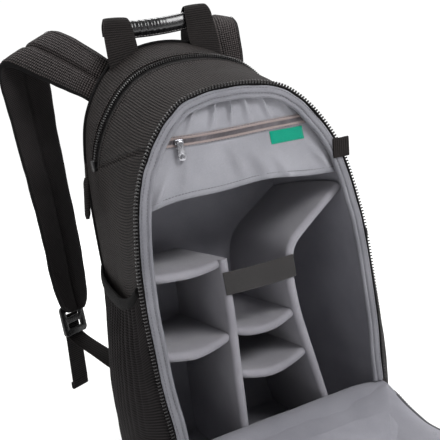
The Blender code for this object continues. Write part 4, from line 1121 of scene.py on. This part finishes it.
def make_metal_pull():
    """The pull keeps the CAD pull's place and its axis; the slider's bridge stands over it."""
    low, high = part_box("pocket_pull")
    middle_x = (low.x + high.x) / 2
    front_y = (low.y + high.y) / 2
    axis_z = POCKET_ZIP_HEIGHT
    length = axis_z - low.z
    outline = []
    for k in range(13):
        angle = math.pi * k / 12
        outline.append((0.0028 * math.cos(angle), -0.0006 + 0.0016 * math.sin(angle)))
    for k in range(13):
        angle = math.pi + math.pi * k / 12
        outline.append((0.0039 * math.cos(angle), -length + 0.0004 + 0.0039 * math.sin(angle)))
    hole = circle(0.0021, (0.0, -length + 0.0006))
    matrix = axes_matrix((middle_x, front_y, axis_z), (1, 0, 0), (0, 0, 1), (0, -1, 0))
    piece = plate("metal_pull", outline, [hole], 0.0013, 0.0003, METAL, matrix)
    finish_piece(piece, "zip_metal", "pocket_pull", body_name="pull")
    low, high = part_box("pocket_slider")
    centre = (low + high) / 2
    verts, faces = block_template((0.0092, 0.0030, 0.0062), 0.0011, 3)
    verts = verts.copy()
    verts[:, 2] *= 1.0 - 0.22 * (verts[:, 0] / 0.0046) ** 2
    base = (np.array([centre.x, high.y - 0.0016, centre.z]), (1, 0, 0), (0, 1, 0), (0, 0, 1))
    slider = copies("metal_slider", (verts, faces), [base], METAL)
    finish_piece(slider, "zip_metal", "pocket_slider")
    bridge_path = spline(
        [
            (-0.0032, 0.0), (-0.0036, -0.0020), (-0.0020, -0.0036), (0.0020, -0.0036), (0.0036, -0.0020),
            (0.0032, 0.0)
        ],
        24
    )
    rings = []
    for k, (bx, by) in enumerate(bridge_path):
        angle_ring = []
        step = bridge_path[min(k + 1, 23)] - bridge_path[max(k - 1, 0)]
        step /= np.linalg.norm(step)
        for t in range(10):
            a = math.tau * t / 10
            side = np.array([-step[1], step[0]]) * 0.0005 * math.cos(a)
            angle_ring.append(
                (centre.x + bx + side[0], high.y - 0.0028 + by + side[1], centre.z + 0.0011 * math.sin(a))
            )
        rings.append(angle_ring)
    finish_piece(loft("metal_bridge", rings, [METAL]), "zip_metal")


make_metal_pull()


# Flat straps
def ribbon(name, centres, acrosses, outs, widths, thickness, materials, crown=0.0, count=60):
    """A flat strap through sections, with rounded edges."""
    data = np.concatenate([
        np.asarray(centres, float), np.asarray(acrosses, float), np.asarray(outs, float),
        np.asarray(widths, float)[:, None],
    ], 1)
    data = spline(data, count)
    profile = []
    for k in range(21):
        profile.append((-0.5 + k / 20, 0.5))
    for k in range(21):
        profile.append((0.5 - k / 20, -0.5))
    rings = []
    for row in data:
        centre, across, out, width = row[:3], row[3:6], row[6:9], row[9]
        across = across / np.linalg.norm(across)
        out = out - across * out.dot(across)
        out /= np.linalg.norm(out)
        ring = []
        for a, t in profile:
            taper = 1 - (abs(a) * 2) ** 10 * 0.35
            lift = crown * (1 - (2 * a) ** 2)
            ring.append(centre + across * width * a + out * (thickness * t * taper + lift))
        rings.append(ring)
    return loft(name, rings, materials)


def make_hook_strap():
    y = DIVIDER_FRONT_Y - 0.0022
    left = path_x(LEFT_PATH, HOOK_STRAP_HEIGHT) - 0.0042
    right = path_x(RIGHT_PATH, HOOK_STRAP_HEIGHT) + 0.0042
    xs = np.linspace(left, right, 7)
    u = (xs - left) / (right - left)
    centres = [
        (x, y + 0.0020 * math.sin(math.pi * s), HOOK_STRAP_HEIGHT - 0.0012 * math.sin(math.pi * s))
        for x, s in zip(xs, u)
    ]
    centres[0] = (left, y + 0.0006, HOOK_STRAP_HEIGHT)
    centres[-1] = (right, y + 0.0006, HOOK_STRAP_HEIGHT)
    acrosses = [(0, 0.02 * math.sin(3 * s), 1) for s in u]
    outs = [(0, -1, 0)] * 7
    piece = ribbon(
        "hook_strap", centres, acrosses, outs, [HOOK_STRAP_WIDTH] * 7, 0.0016, [HOOK_FACE], crown=0.0004
    )
    finish_piece(piece, "webbing", "hook_loop_strap")


make_hook_strap()


def make_edge_tab():
    low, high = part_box("edge_tab")
    middle = (low + high) / 2
    path = [
        (low.x + 0.001, low.y + 0.0006), (middle.x, low.y + 0.0002), (high.x - 0.0010, low.y),
        (high.x + 0.0012, low.y + 0.0016),
        (high.x - 0.0008, low.y + 0.0032), (high.x - 0.0030, low.y + 0.0034),
    ]
    centres = [(x, y, middle.z) for x, y in path]
    outs = [(0, -1, 0), (0, -1, 0), (0.3, -0.95, 0), (1, 0, 0), (0.3, 0.95, 0), (0, 1, 0)]
    piece = ribbon(
        "edge_tab_loop", centres, [(0.12, 0, 1)] * 6, outs, [EDGE_TAB_LENGTH] * 6, 0.0014, [WEBBING],
        count=40
    )
    finish_piece(piece, "webbing", "edge_tab")


make_edge_tab()


# Side pockets
POCKET_PROFILE = np.array(
    (
        (0.00, 0.10), (0.12, 0.50), (0.25, 0.84), (0.45, 1.00), (0.65, 0.88), (0.85, 0.50), (0.95, 0.24),
        (1.00, 0.18)
    )
)
POCKET_FRONT, POCKET_REAR = -0.076, 0.070


def pocket_points(sign, shares, offset, gather):
    ys = POCKET_FRONT + (POCKET_REAR - POCKET_FRONT) * np.linspace(0, 1, 130)
    rows = 3 + 5 * shares
    index = rows * PER_ROW
    low = np.clip(index.astype(int), 0, COUNT - 2)
    part = (index - low)[:, None]
    columns = []
    for y in ys:
        v = (y - POCKET_FRONT) / (POCKET_REAR - POCKET_FRONT)
        ring = ring2d(y)
        normal = inward(ring)
        bulge = POCKET_BULGE * smooth(POCKET_PROFILE[:, 0], POCKET_PROFILE[:, 1], shares)
        swell = bulge * math.sin(math.pi * v) ** 0.7
        pleat = gather * (0.5 + 0.5 * math.cos(v * 108 + 2.0 * noise.noise(Vector((v * 6, sign, 0))))) ** 2
        fade = np.exp(-(((0.93 - shares) / 0.26) ** 2)) * np.clip(math.sin(math.pi * v) * 3, 0, 1)
        drag = 0.0016 * np.sin((v * 9 + shares * 7) * 1.3) * np.exp(
            -((shares - 0.25) / 0.2) ** 2
        ) * math.sin(math.pi * v)
        distance = -(0.0006 + swell + offset - pleat * fade - drag * (gather > 0))
        point = ring[low] * (1 - part) + ring[low + 1] * part
        n = normal[low] * (1 - part) + normal[low + 1] * part
        point = point + n * distance[:, None]
        columns.append(np.stack([sign * -point[:, 0], np.full(len(point), y), point[:, 1]], 1))
    return np.stack(columns, 1)


def make_side_pockets():
    shares = np.linspace(0, 0.968, 80)
    band = np.linspace(0.96, 1.0, 14)
    for side, sign in (("left", -1), ("right", 1)):
        outer = pocket_points(sign, shares, 0.0015, 0.0030)
        outer[:, :, 0] += sign * 0.0008 * bumps(outer, 45.0, 2.0)
        inner = pocket_points(sign, shares, -0.0002, 0.0030)
        piece = slab("pocket_mesh_" + side, outer, inner, [MESH], 70)
        finish_piece(piece, "mesh_fabric", "side_pocket_" + side)
        top = pocket_points(sign, band, 0.0026, 0.0)
        u = np.linspace(-1, 1, 14)[:, None]
        normal_out = np.array([sign, 0, 0]) * (0.0009 * (1 - u**2))[:, :, None]
        under = pocket_points(sign, band, 0.0004, 0.0)
        piece = slab("pocket_elastic_" + side, top + normal_out, under, [PLAIN_BLACK])
        finish_piece(piece, "webbing", "pocket_band_" + side)


make_side_pockets()


# Handle
def make_handle():
    for side, sign in (("left", -1), ("right", 1)):
        x = sign * HANDLE_X
        crown = ring2d(0.071)[PER_ROW * 8:HALF + 1]
        foot = min(np.interp((-HANDLE_X - 0.0185, -HANDLE_X), crown[:, 0], crown[:, 1])) - 0.001
        sag = 0.0062 if side == "left" else 0.0
        handle_top = HANDLE_TOP - sag
        grip_z = handle_top - GRIP_DROP
        path = [
            (HANDLE_Y, foot, 0.037), (0.0706, foot + 0.012, 0.0366), (0.0722, foot + 0.028, 0.0352),
            (0.0736, grip_z - 0.004, 0.0336),
            (0.0742, grip_z + 0.004, 0.0316), (0.0772, handle_top + 0.0016, 0.0270),
            (0.0828, handle_top + 0.0020, 0.0262),
            (0.0874, grip_z + 0.004, 0.0290), (0.0880, grip_z - 0.006, 0.0310),
        ]
        centres = [(x - sign * 0.0022 * k / 8, y, z) for k, (y, z, _) in enumerate(path)]
        tangent = np.gradient(np.array([(p[0], p[1]) for p in path]), axis=0)
        outs = [(0, -t[1], t[0]) for t in tangent]
        tilt = 0.16 * sign
        acrosses = [(1, 0, -tilt * max(0.0, 1 - k / 3) * 2.2 + tilt * 0.25) for k in range(9)]
        piece = ribbon(
            "handle_strap_" + side, centres, acrosses, outs, [p[2] for p in path], 0.0021, [WEBBING],
            crown=0.0006, count=80
        )
        finish_piece(piece, "webbing", "handle_webbing_" + side)
        z = foot + 0.010
        path_line = np.array(
            [(x + s * 0.015, HANDLE_Y - 0.0012, z - tilt * s * 0.034) for s in np.linspace(-1, 1, 12)]
        )
        stitches("handle_stitch_" + side, path_line, facing_front(12), THREAD_BLACK, "plain_black_fabric")

    def grip_z_at(x):
        u = x / GRIP_HALF_LENGTH
        return HANDLE_TOP - GRIP_DROP - GRIP_SAG * (1 - u * u) - GRIP_TILT * (1 - u)

    rings = []
    for x in np.linspace(-GRIP_HALF_LENGTH, GRIP_HALF_LENGTH, 180):
        centre_z = grip_z_at(x)
        gather = math.exp(-(((x + 0.016) / 0.020) ** 2))
        rib = 0.060 * gather * math.cos(x * math.tau / 0.0078)
        ring = []
        for t in range(40):
            a = math.tau * t / 40
            ry = 0.0050 * (1 + 0.10 * gather)
            hem = 1.04 if math.sin(a) < -0.35 else 1.0
            squeeze = 1.0 - 0.62 * np.clip((-math.sin(a) - 0.45) / 0.4, 0, 1)
            ring.append(
                (
                    x, GRIP_Y + math.cos(a) * ry * squeeze * (1 + rib * 3.0),
                    centre_z + math.sin(a) * 0.0094 * hem
                )
            )
        rings.append(ring)
    finish_piece(
        loft("grip_leather", rings, [LEATHER], smooth_angle=70), "grip_leather", "handle_grip", fill=0.9
    )
    path = np.array([(x, GRIP_Y - 0.0020, grip_z_at(x) - 0.0084) for x in np.linspace(-0.036, 0.036, 60)])
    stitches("grip_stitch", path, np.tile([0.0, -1.0, -0.1], (60, 1)), THREAD, "grip_leather")


make_handle()


# Shoulder straps
# out share of the splay, back share of the standoff, rise share, drop share, width share,
# lean of the width and its turn to the rear in degrees
STRAP_RISES = {
    "left": (
        (0.00, 0.00, 0.00, 0.00, 0.80, 52, 0),
        (0.26, 0.34, 0.38, 0.00, 0.88, 44, 0),
        (0.56, 0.68, 0.78, 0.00, 0.96, 36, 0),
        (0.80, 0.92, 1.00, 0.00, 1.00, 28, 4),
    ),
    "right": (
        (0.00, 0.00, 0.00, 0.00, 0.86, 16, 0),
        (0.16, 0.12, 0.66, 0.00, 0.94, 14, 0),
        (0.40, 0.34, 1.06, 0.00, 1.00, 12, 0),
        (0.76, 0.76, 1.20, 0.00, 1.00, 12, 4),
    ),
}
STRAP_FALL = (
    (0.92, 1.10, 0.86, 0.00, 1.00, 20, 10),
    (0.96, 1.20, 0.30, 0.00, 0.98, 12, 18),
    (0.97, 1.20, 0.00, 0.14, 0.94, 6, 26),
    (0.97, 1.12, 0.00, 0.40, 0.88, 2, 30),
    (1.00, 0.98, 0.00, 0.66, 0.84, 0, 32),
    (1.05, 0.84, 0.00, 0.86, 0.78, 0, 32),
    (1.06, 0.78, 0.00, 0.96, 0.62, 0, 32),
    (1.06, 0.76, 0.00, 1.00, 0.34, 0, 32),
)


def strap_frames(sign, splay, sections):
    """Centre, width direction and width of each section, as in the CAD source."""
    seat_y = REAR_Y + GAP + BACK_PANEL_DEPTH + GAP + STRAP_PAD / 2
    start = np.array([sign * STRAP_ATTACH_X, seat_y, BACK_HEIGHT - STRAP_ATTACH_DROP])
    rows = []
    for out, back, rise, drop, width, lean, turn in sections:
        centre = start + np.array(
            [sign * splay * out, STRAP_STANDOFF * back, STRAP_RISE * rise - STRAP_DROP * drop]
        )
        lean, turn = math.radians(lean), math.radians(turn)
        across = np.array([
            -sign * math.cos(lean) * math.cos(turn), math.cos(lean) * math.sin(turn), math.sin(lean),
        ])
        rows.append(np.concatenate([centre, across, [STRAP_WIDTH * width]]))
    first = rows[0]
    run = np.array([sign * first[5], 0, abs(first[3])])
    return [np.concatenate([first[:3] - run * STRAP_ROOT_RUN, first[3:]])] + rows


def strap_profile():
    """Across share, height share and material: bound edges, a woven face and a mesh face."""
    rows = []
    for a in np.linspace(-0.465, 0.465, 36):
        crease = 0.30 * math.exp(-((a / 0.045) ** 2))
        pillow = 0.50 - 0.22 * (abs(a) / 0.5) ** 4 - crease
        rows.append((a, pillow, 1))
    for t in np.linspace(0.15, 0.85, 8):
        angle = math.pi / 2 - math.pi * t
        rows.append((0.470 + 0.034 * math.cos(angle), 0.26 * math.sin(angle), 2))
    for a in np.linspace(0.465, -0.465, 36):
        crease = 0.26 * math.exp(-((a / 0.05) ** 2))
        pillow = -0.50 + 0.20 * (abs(a) / 0.5) ** 4 + crease
        rows.append((a, pillow, 0))
    for t in np.linspace(0.15, 0.85, 8):
        angle = -math.pi / 2 - math.pi * t
        rows.append((-0.470 + 0.034 * math.cos(angle), 0.26 * math.sin(angle), 2))
    return rows


def make_strap(side, sign, splay):
    frames = np.array(strap_frames(sign, splay, STRAP_RISES[side] + STRAP_FALL))
    data = spline(frames, 150)
    profile = strap_profile()
    along = np.gradient(data[:, :3], axis=0)
    along /= np.linalg.norm(along, axis=1, keepdims=True)
    rings, edge_paths, edge_outs = [], [[], []], []
    for row, way in zip(data, along):
        centre, across, width = row[:3], row[3:6] / np.linalg.norm(row[3:6]), row[6]
        out = np.cross(way, across) * sign
        out /= np.linalg.norm(out)
        rings.append([centre + across * width * a + out * STRAP_PAD * t for a, t, _ in profile])
        for k, a in enumerate((-0.425, 0.425)):
            edge_paths[k].append(centre + across * width * a + out * 0.0048)
        edge_outs.append(out)
    rings = np.array(rings)
    centre_line = data[:, None, :3]
    pucker = 0.0007 * bumps(rings, 60.0, 6.0 + sign) + 0.0012 * bumps(rings, 18.0, 2.0)
    away = rings - centre_line
    away /= np.maximum(np.linalg.norm(away, axis=2, keepdims=True), 1e-9)
    rings += away * pucker[:, :, None]
    columns = [m for _, _, m in profile]
    piece = loft(
        "strap_pad_" + side, rings, [MESH, STRAP_FACE, PLAIN_BLACK], column_material=columns, smooth_angle=60
    )
    finish_piece(piece, "mesh_fabric", "shoulder_strap_" + side, fill=0.6)
    for k, path in enumerate(edge_paths):
        stitches(
            "strap_stitch_%s_%d" % (side, k), np.array(path)[8:-6], np.array(edge_outs)[8:-6], THREAD_BLACK,
            "plain_black_fabric"
        )

    tip, across = frames[-1][:3], frames[-1][3:6]
    down = tip - frames[-3][:3]
    down /= np.linalg.norm(down)
    out = np.cross(down, across) * sign
    out /= np.linalg.norm(out)
    lock = tip + down * LOCK_LENGTH * 0.28 + out * (STRAP_PAD * 0.5 + GAP * 2)
    outline = rounded_box(0.017, 0.017, 0.004)
    holes = [rounded_box(0.0115, 0.0042, 0.0016, centre=(0, y)) for y in (0.0068, -0.0068)]
    matrix = axes_matrix(lock + out * 0.002, Vector(across), Vector(down), Vector(out))
    piece = plate("lock_frame_" + side, outline, holes, LOCK_THICKNESS, 0.0011, PLASTIC, matrix)
    finish_piece(piece, "black_plastic", "ladder_lock_" + side)

    anchor = np.array(
        [sign * (BACK_HALF_WIDTH - ANCHOR_INSET), REAR_Y + GAP + BACK_PANEL_DEPTH + GAP, ANCHOR_HEIGHT]
    )
    lift = out * (LOCK_THICKNESS + GAP * 2 + WEBBING_THICKNESS / 2)
    top = lock + lift - down * LOCK_LENGTH * 0.2
    leave = lock + lift + down * (LOCK_LENGTH / 2)
    end = anchor + np.array([0, ANCHOR_THICKNESS + WEBBING_THICKNESS / 2 + GAP, 0])
    level = np.array([-sign, 0, 0])
    centres = [top, leave]
    acrosses = [across, across]
    outs = [out, out]
    rear = np.array([0.0, 1.0, 0.0])
    for share in (0.35, 0.7):
        centres.append(leave * (1 - share) + end * share + down * WEBBING_SAG)
        acrosses.append(across * (1 - share) + level * share)
        outs.append(out * (1 - share) + rear * share)
    centres += [end + np.array([0, 0, ANCHOR_RUN]), end]
    acrosses += [level, level]
    outs += [rear, rear]
    piece = ribbon(
        "lower_strap_" + side, centres, acrosses, outs, [WEBBING_WIDTH] * 6, WEBBING_THICKNESS, [WEBBING],
        count=70
    )
    finish_piece(piece, "webbing", "lower_webbing_" + side)
    tail_lift = out * (WEBBING_THICKNESS + GAP)
    centres, widths = [top + tail_lift], [WEBBING_WIDTH]
    for share, width in ((0.0, 1.0), (0.5, 1.0), (0.9, 1.0), (1.0, 0.9)):
        centres.append(leave + tail_lift + down * TAIL_LENGTH * share + out * TAIL_KICK * share)
        widths.append(WEBBING_WIDTH * width)
    piece = ribbon(
        "tail_strap_" + side, centres, [across] * 5, [out] * 5, widths, 0.0018, [WEBBING], count=50,
        crown=0.0003
    )
    finish_piece(piece, "webbing", "webbing_tail_" + side)
    fold = [
        centres[-2], centres[-1] + down * 0.001, centres[-1] + out * 0.0016 + down * 0.0016,
        centres[-1] + out * 0.0030, centres[-2] + out * 0.0030
    ]
    piece = ribbon(
        "tail_fold_" + side, fold, [across] * 5, [-out, -out, down, out, out], [0.0236] * 5, 0.0014,
        [WEBBING], count=30
    )
    finish_piece(piece, "webbing")

    us = np.linspace(-1, 1, 20)
    gx, gz = np.meshgrid(us, us)
    dome = (1 - gx**8) * (1 - gz**8)
    front = np.stack(
        [anchor[0] + gx * ANCHOR_HALF, anchor[1] + 0.0008 + 0.0024 * dome, anchor[2] + gz * ANCHOR_HALF], 2
    )
    back = front.copy()
    back[:, :, 1] = anchor[1] - 0.0002
    finish_piece(slab("anchor_patch_" + side, front, back, [WEBBING]), "webbing", "strap_anchor_" + side)


make_strap("left", -1, 0.060)
make_strap("right", 1, 0.024)


# Back panel
def make_back_panel():
    near = REAR_Y + GAP
    far = near + BACK_PANEL_DEPTH
    ring = body(REAR_Y)
    grid = rung_grid(ring, 90)
    inner = grid.copy()
    inner[:, :, 1] = near
    distance = []
    outline = ring[:, [0, 2]]
    flat = grid[:, :, [0, 2]].reshape(-1, 2)
    for start in range(0, len(flat), 4000):
        part = flat[start : start + 4000]
        gap = np.linalg.norm(part[:, None, :] - outline[None, :, :], axis=2)
        distance.append(gap.min(1))
    distance = np.concatenate(distance).reshape(grid.shape[:2])
    dome = 1 - np.clip(1 - distance / 0.012, 0, 1) ** 2.4
    x, z = grid[:, :, 0], grid[:, :, 2]
    channel = np.exp(-((x / 0.007) ** 2)) * ((z > 0.05) & (z < 0.40))
    for height in (0.115, 0.205, 0.295, 0.375):
        channel = np.maximum(
            channel, np.exp(-(((z - height - 0.05 * np.abs(x)) / 0.006) ** 2)) * (np.abs(x) < 0.088)
        )
    outer = grid.copy()
    outer[:, :, 1] = near + 0.0012 + (far - near - 0.0012) * dome - 0.0052 * channel * dome
    outer[:, :, 1] += 0.0003 * bumps(grid, 50.0, 8.0)
    finish_piece(slab("back_pad", outer, inner, [MESH], 70), "mesh_fabric", "back_panel", fill=0.7)
    rear = np.array([0.0, 1.0, 0.0])
    piping = [
        round_ring(point - n * 0.0004, n, rear, 0.0021, 12)
        for point, n in zip(ring, at_depth(inward(outline), 0.0))
    ]
    piece = loft("back_piping", piping, [PLAIN_BLACK], closed_v=True)
    finish_piece(piece, "plain_black_fabric")


make_back_panel()


# Flap
FLAP_EDGE = np.array(((0.00, 1.03), (0.05, 0.84), (0.12, 0.52), (0.20, 0.28), (0.32, 0.22), (1.00, 0.22)))


def flap_plan(scale, inset=0.0):
    middle = RIM_HEIGHT / 2
    plan = np.stack(
        [FINE[:, 0] * RIM_HALF_WIDTH * scale, middle + (FINE[:, 1] * RIM_HEIGHT - middle) * scale], 1
    )
    return plan + inward(plan) * inset


def flap_edge_height(along):
    return HINGE_HEIGHT * smooth(FLAP_EDGE[:, 0], FLAP_EDGE[:, 1], np.maximum(along, 0.0) / RIM_HEIGHT)


def flap_ring(plan, height):
    return np.stack([plan[:, 0], FRONT_Y - GAP - plan[:, 1], height], 1)


def make_flap():
    rings = []
    rows = [
        (0.008, 0.0, 0.0), (0.004, 0.06, 0.0), (0.0012, 0.2, 0.0), (0.0, 0.45, 0.0), (0.0, 0.8, 0.0),
        (0.0, 1.0, 0.0), (0.0018, 1.0, 0.0), (0.002, 0.6, 0.002), (0.010, 0.0, 0.002)
    ]
    for inset, share, lift in rows:
        plan = flap_plan(1.0, inset)
        rings.append(flap_ring(plan, flap_edge_height(plan[:, 1]) * share + lift))
    rings = np.array(rings)
    rings = np.concatenate([rings, [flap_ring(flap_plan(0.5), np.full(COUNT, 0.0021))]])
    piece = loft("flap_cloth", rings, [BALLISTIC], smooth_angle=60)
    finish_piece(piece, "ballistic_fabric", "flap_outer")

    scales = [
        1.0, 0.995, 0.985, 0.97, 0.95, 0.925, 0.895, 0.86, 0.82, 0.77, 0.71, 0.64, 0.56, 0.47, 0.38, 0.28,
        0.18, 0.08
    ]
    crown = smooth(
        [0.0, 0.40, 0.60, 0.82, 0.94, 0.985, 1.0], [1.0, 1.0, 0.98, 0.78, 0.42, 0.14, 0.0], np.array(scales)
    )
    rings = [flap_ring(flap_plan(1.0, 0.0012), flap_edge_height(flap_plan(1.0)[:, 1]) + 0.0004)]
    for scale, rise in zip(scales, crown):
        plan = flap_plan(scale, 0.0004)
        rings.append(flap_ring(plan, flap_edge_height(plan[:, 1]) + 0.0038 + FLAP_CROWN * rise))
    rings = np.array(rings)
    amount = np.concatenate([[0, 0], np.clip((1 - np.array(scales[1:])) / 0.08, 0, 1)])
    drift = (0.0026 * bumps(rings, 14.0, 4.0) + 0.0009 * bumps(rings, 45.0, 1.0)) * amount[:, None]
    rings[:, :, 2] += np.clip(drift, -0.003, 0.003)
    piece = loft("flap_pad", rings, [LINING], smooth_angle=80)
    finish_piece(piece, "grey_lining", "flap_lining", fill=0.5)

    plan = flap_plan(1.0, 0.0)
    n = inward(plan)
    first, last = 5 * PER_ROW - 6, COUNT - 5 * PER_ROW + 6
    index = np.arange(first, last + 1)
    height = flap_edge_height(plan[:, 1])
    centre = flap_ring(plan, height)
    outward = np.stack([-n[:, 0], n[:, 1], np.zeros(COUNT)], 1)
    tooth = block_template((0.0017, 0.0034, 0.0026), 0.0007)
    frames = even_frames((centre + outward * 0.0026)[index], outward[index], TOOTH_PITCH)
    finish_piece(copies("flap_teeth", tooth, frames, COIL), "zip_coil", "flap_zip_teeth")
    up = np.array([0.0, 0.0, 1.0])
    # flap_binding takes the grey binding cloth painted darker: painted shade along the flap's edge.
    for name, radius, shift, lift, material, slot in (
        ("flap_tape", 0.0013, 0.0008, 0.0006, PLAIN_BLACK, "plain_black_fabric"),
        ("flap_binding", 0.0038, -0.0030, 0.0040, FLAP_BINDING_SHADED, "grey_binding"),
    ):
        rings = [
            round_ring(centre[k] + outward[k] * shift + up * lift, outward[k], up, radius, 12)
            for k in index
        ]
        finish_piece(loft(name, rings, [material]), slot)

    xs = np.linspace(-0.121, 0.121, 90)
    rings = []
    for x in xs:
        pinch = 1 - 0.35 * (abs(x) / 0.121) ** 6
        puff = 0.0012 * noise.noise(Vector((x * 30, 1.0, 2.0)))
        section = spline([
            (FRONT_Y + 0.030, 0.0435), (FRONT_Y + 0.012, 0.0530 + puff), (FRONT_Y + 0.002, 0.0560 + puff),
            (FRONT_Y - 0.010, 0.0545 + puff),
            (FRONT_Y - 0.024, 0.0480 + puff), (FRONT_Y - 0.034, 0.0400), (FRONT_Y - 0.020, 0.0400),
            (FRONT_Y - 0.002, 0.0470), (FRONT_Y + 0.010, 0.0455),
        ], 40, closed=True)
        middle = np.array([FRONT_Y - 0.002, 0.047])
        section = middle + (section - middle) * pinch
        rings.append([(x, p[0], p[1]) for p in section])
    finish_piece(loft("hinge_roll", rings, [LINING], smooth_angle=80), "grey_lining", fill=0.4)


make_flap()


# Crown sliders and cord pulls
def make_crown_pulls():
    for side, sign in (("left", -1), ("right", 1)):
        low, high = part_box("crown_slider_" + side)
        centre = (low + high) / 2
        out = (sign, 0, 0)
        verts, faces = block_template((0.0112, 0.0084, 0.0030), 0.0010, 3)
        frame_at = [(np.array(centre[:]), (0, 0, 1), (0, 1, 0), out)]
        finish_piece(
            copies("crown_slider_body_" + side, (verts, faces), frame_at, PLASTIC), "black_plastic",
            "crown_slider_" + side
        )
        low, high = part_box("crown_pull_" + side)
        x = (low.x + high.x) / 2
        y = (low.y + high.y) / 2
        top = high.z + 0.010
        loop = spline([
            (x + sign * 0.0022, y - 0.0008, top), (x + sign * 0.0040, y - 0.0020, high.z - 0.004),
            (x + sign * 0.0052, y - 0.0016, high.z - 0.014),
            (x + sign * 0.0052, y + 0.0016, high.z - 0.014), (x + sign * 0.0040, y + 0.0020, high.z - 0.004),
            (x + sign * 0.0022, y + 0.0008, top),
        ], 50)
        rings = []
        along = np.gradient(loop, axis=0)
        for p, w in zip(loop, along):
            w = w / np.linalg.norm(w)
            a = np.cross(w, (1.0, 0.1, 0.0))
            a /= np.linalg.norm(a)
            b = np.cross(w, a)
            rings.append(round_ring(p, a, b, 0.0010, 10))
        finish_piece(loft("pull_cord_" + side, rings, [WEBBING]), "plain_black_fabric")
        body_rings = []
        for k in range(24):
            s = k / 23
            z = high.z - 0.004 - (high.z - 0.004 - low.z) * s
            taper = min(1.0, 0.55 + s * 4) * min(1.0, 0.55 + (1 - s) * 4)
            body_rings.append([
                (
                    x + sign * (0.0046 + 0.0070 * s) + 0.0030 * taper * math.cos(a),
                    y + 0.0042 * taper * math.sin(a), z
                )
                for a in (math.tau * t / 20 for t in range(20))
            ])
        finish_piece(
            loft("pull_grip_" + side, body_rings, [WEBBING]), "plain_black_fabric", "crown_pull_" + side
        )


make_crown_pulls()


# Stage
def make_stage():
    mesh = bpy.data.meshes.new("floor")
    mesh.from_pydata(
        [(-6, -6, -0.0004), (6, -6, -0.0004), (6, 6, -0.0004), (-6, 6, -0.0004)], [], [(0, 1, 2, 3)]
    )
    floor = bpy.data.objects.new("floor", mesh)
    bpy.context.scene.collection.objects.link(floor)
    shade = Shade("floor_white", 0.9, specular=0.1)
    shade.shader.inputs["Base Color"].default_value = (0.93, 0.93, 0.93, 1.0)
    shade.shader.inputs["Emission Color"].default_value = (1.0, 1.0, 1.0, 1.0)
    across = shade.tree.nodes.new("ShaderNodeSeparateXYZ")
    shade.tree.links.new(shade.place, across.inputs[0])
    square = shade.calc(
        "ADD", shade.calc("MULTIPLY", across.outputs[0], across.outputs[0]),
        shade.calc("MULTIPLY", across.outputs[1], across.outputs[1])
    )
    far = shade.ramp(shade.calc("SQRT", square), 0.4, 1.6, 0.04, 0.70)
    shade.tree.links.new(far, shade.shader.inputs["Emission Strength"])
    mesh.materials.append(shade.made)
    world = bpy.data.worlds.new("studio")
    world.use_nodes = True
    world.node_tree.nodes["Background"].inputs["Color"].default_value = (1, 1, 1, 1)
    nodes, links = world.node_tree.nodes, world.node_tree.links
    coords = nodes.new("ShaderNodeTexCoord")
    split = nodes.new("ShaderNodeSeparateXYZ")
    glow = nodes.new("ShaderNodeMapRange")
    for socket, value in (("From Min", 0.05), ("From Max", 0.5), ("To Min", 0.30), ("To Max", 1.04)):
        glow.inputs[socket].default_value = value
    links.new(coords.outputs["Generated"], split.inputs[0])
    links.new(split.outputs[1], glow.inputs["Value"])
    links.new(glow.outputs["Result"], nodes["Background"].inputs["Strength"])
    bpy.context.scene.world = world
    bpy.context.scene.view_settings.view_transform = "Standard"
    for name, place, aim, size, power in (
        ("key", (0.7, -1.7, 1.6), (0, 0, 0.2), 1.1, 44.0),
        ("fill", (-1.7, -1.1, 0.9), (0, 0, 0.2), 1.4, 2.0),
        ("top", (0.2, 0.6, 2.2), (0, 0, 0.3), 1.2, 34.0),
    ):
        light = bpy.data.lights.new(name, "AREA")
        light.shape = "DISK"
        light.size = size
        light.energy = power
        lamp = bpy.data.objects.new(name, light)
        bpy.context.scene.collection.objects.link(lamp)
        lamp.location = place
        lamp.rotation_euler = (Vector(place) - Vector(aim)).to_track_quat("Z", "Y").to_euler()


make_stage()


def make_camera():
    """The photo's camera, from the fit to the arched opening."""
    yaw, pitch, roll = math.radians(26.1), math.radians(9.6), math.radians(-9.85)
    target, distance = Vector((0, -0.078, 0.234)), 0.733
    back = Vector((-math.sin(yaw) * math.cos(pitch), -math.cos(yaw) * math.cos(pitch), math.sin(pitch)))
    right = (-back).cross(Vector((0, 0, 1))).normalized()
    up = right.cross(-back)
    r = right * math.cos(roll) + up * math.sin(roll)
    u = up * math.cos(roll) - right * math.sin(roll)
    data = bpy.data.cameras.new("camera")
    data.sensor_width = SENSOR_WIDTH
    data.lens = FOCAL_PIXELS / PHOTO_SIZE * SENSOR_WIDTH
    data.shift_x = -38.6 / PHOTO_SIZE
    data.shift_y = 24.5 / PHOTO_SIZE
    data.clip_start = 0.01
    camera = bpy.data.objects.new("camera", data)
    bpy.context.scene.collection.objects.link(camera)
    matrix = Matrix((r, u, back)).transposed().to_4x4()
    matrix.translation = target + back * distance
    camera.matrix_world = matrix
    bpy.context.scene.camera = camera


make_camera()
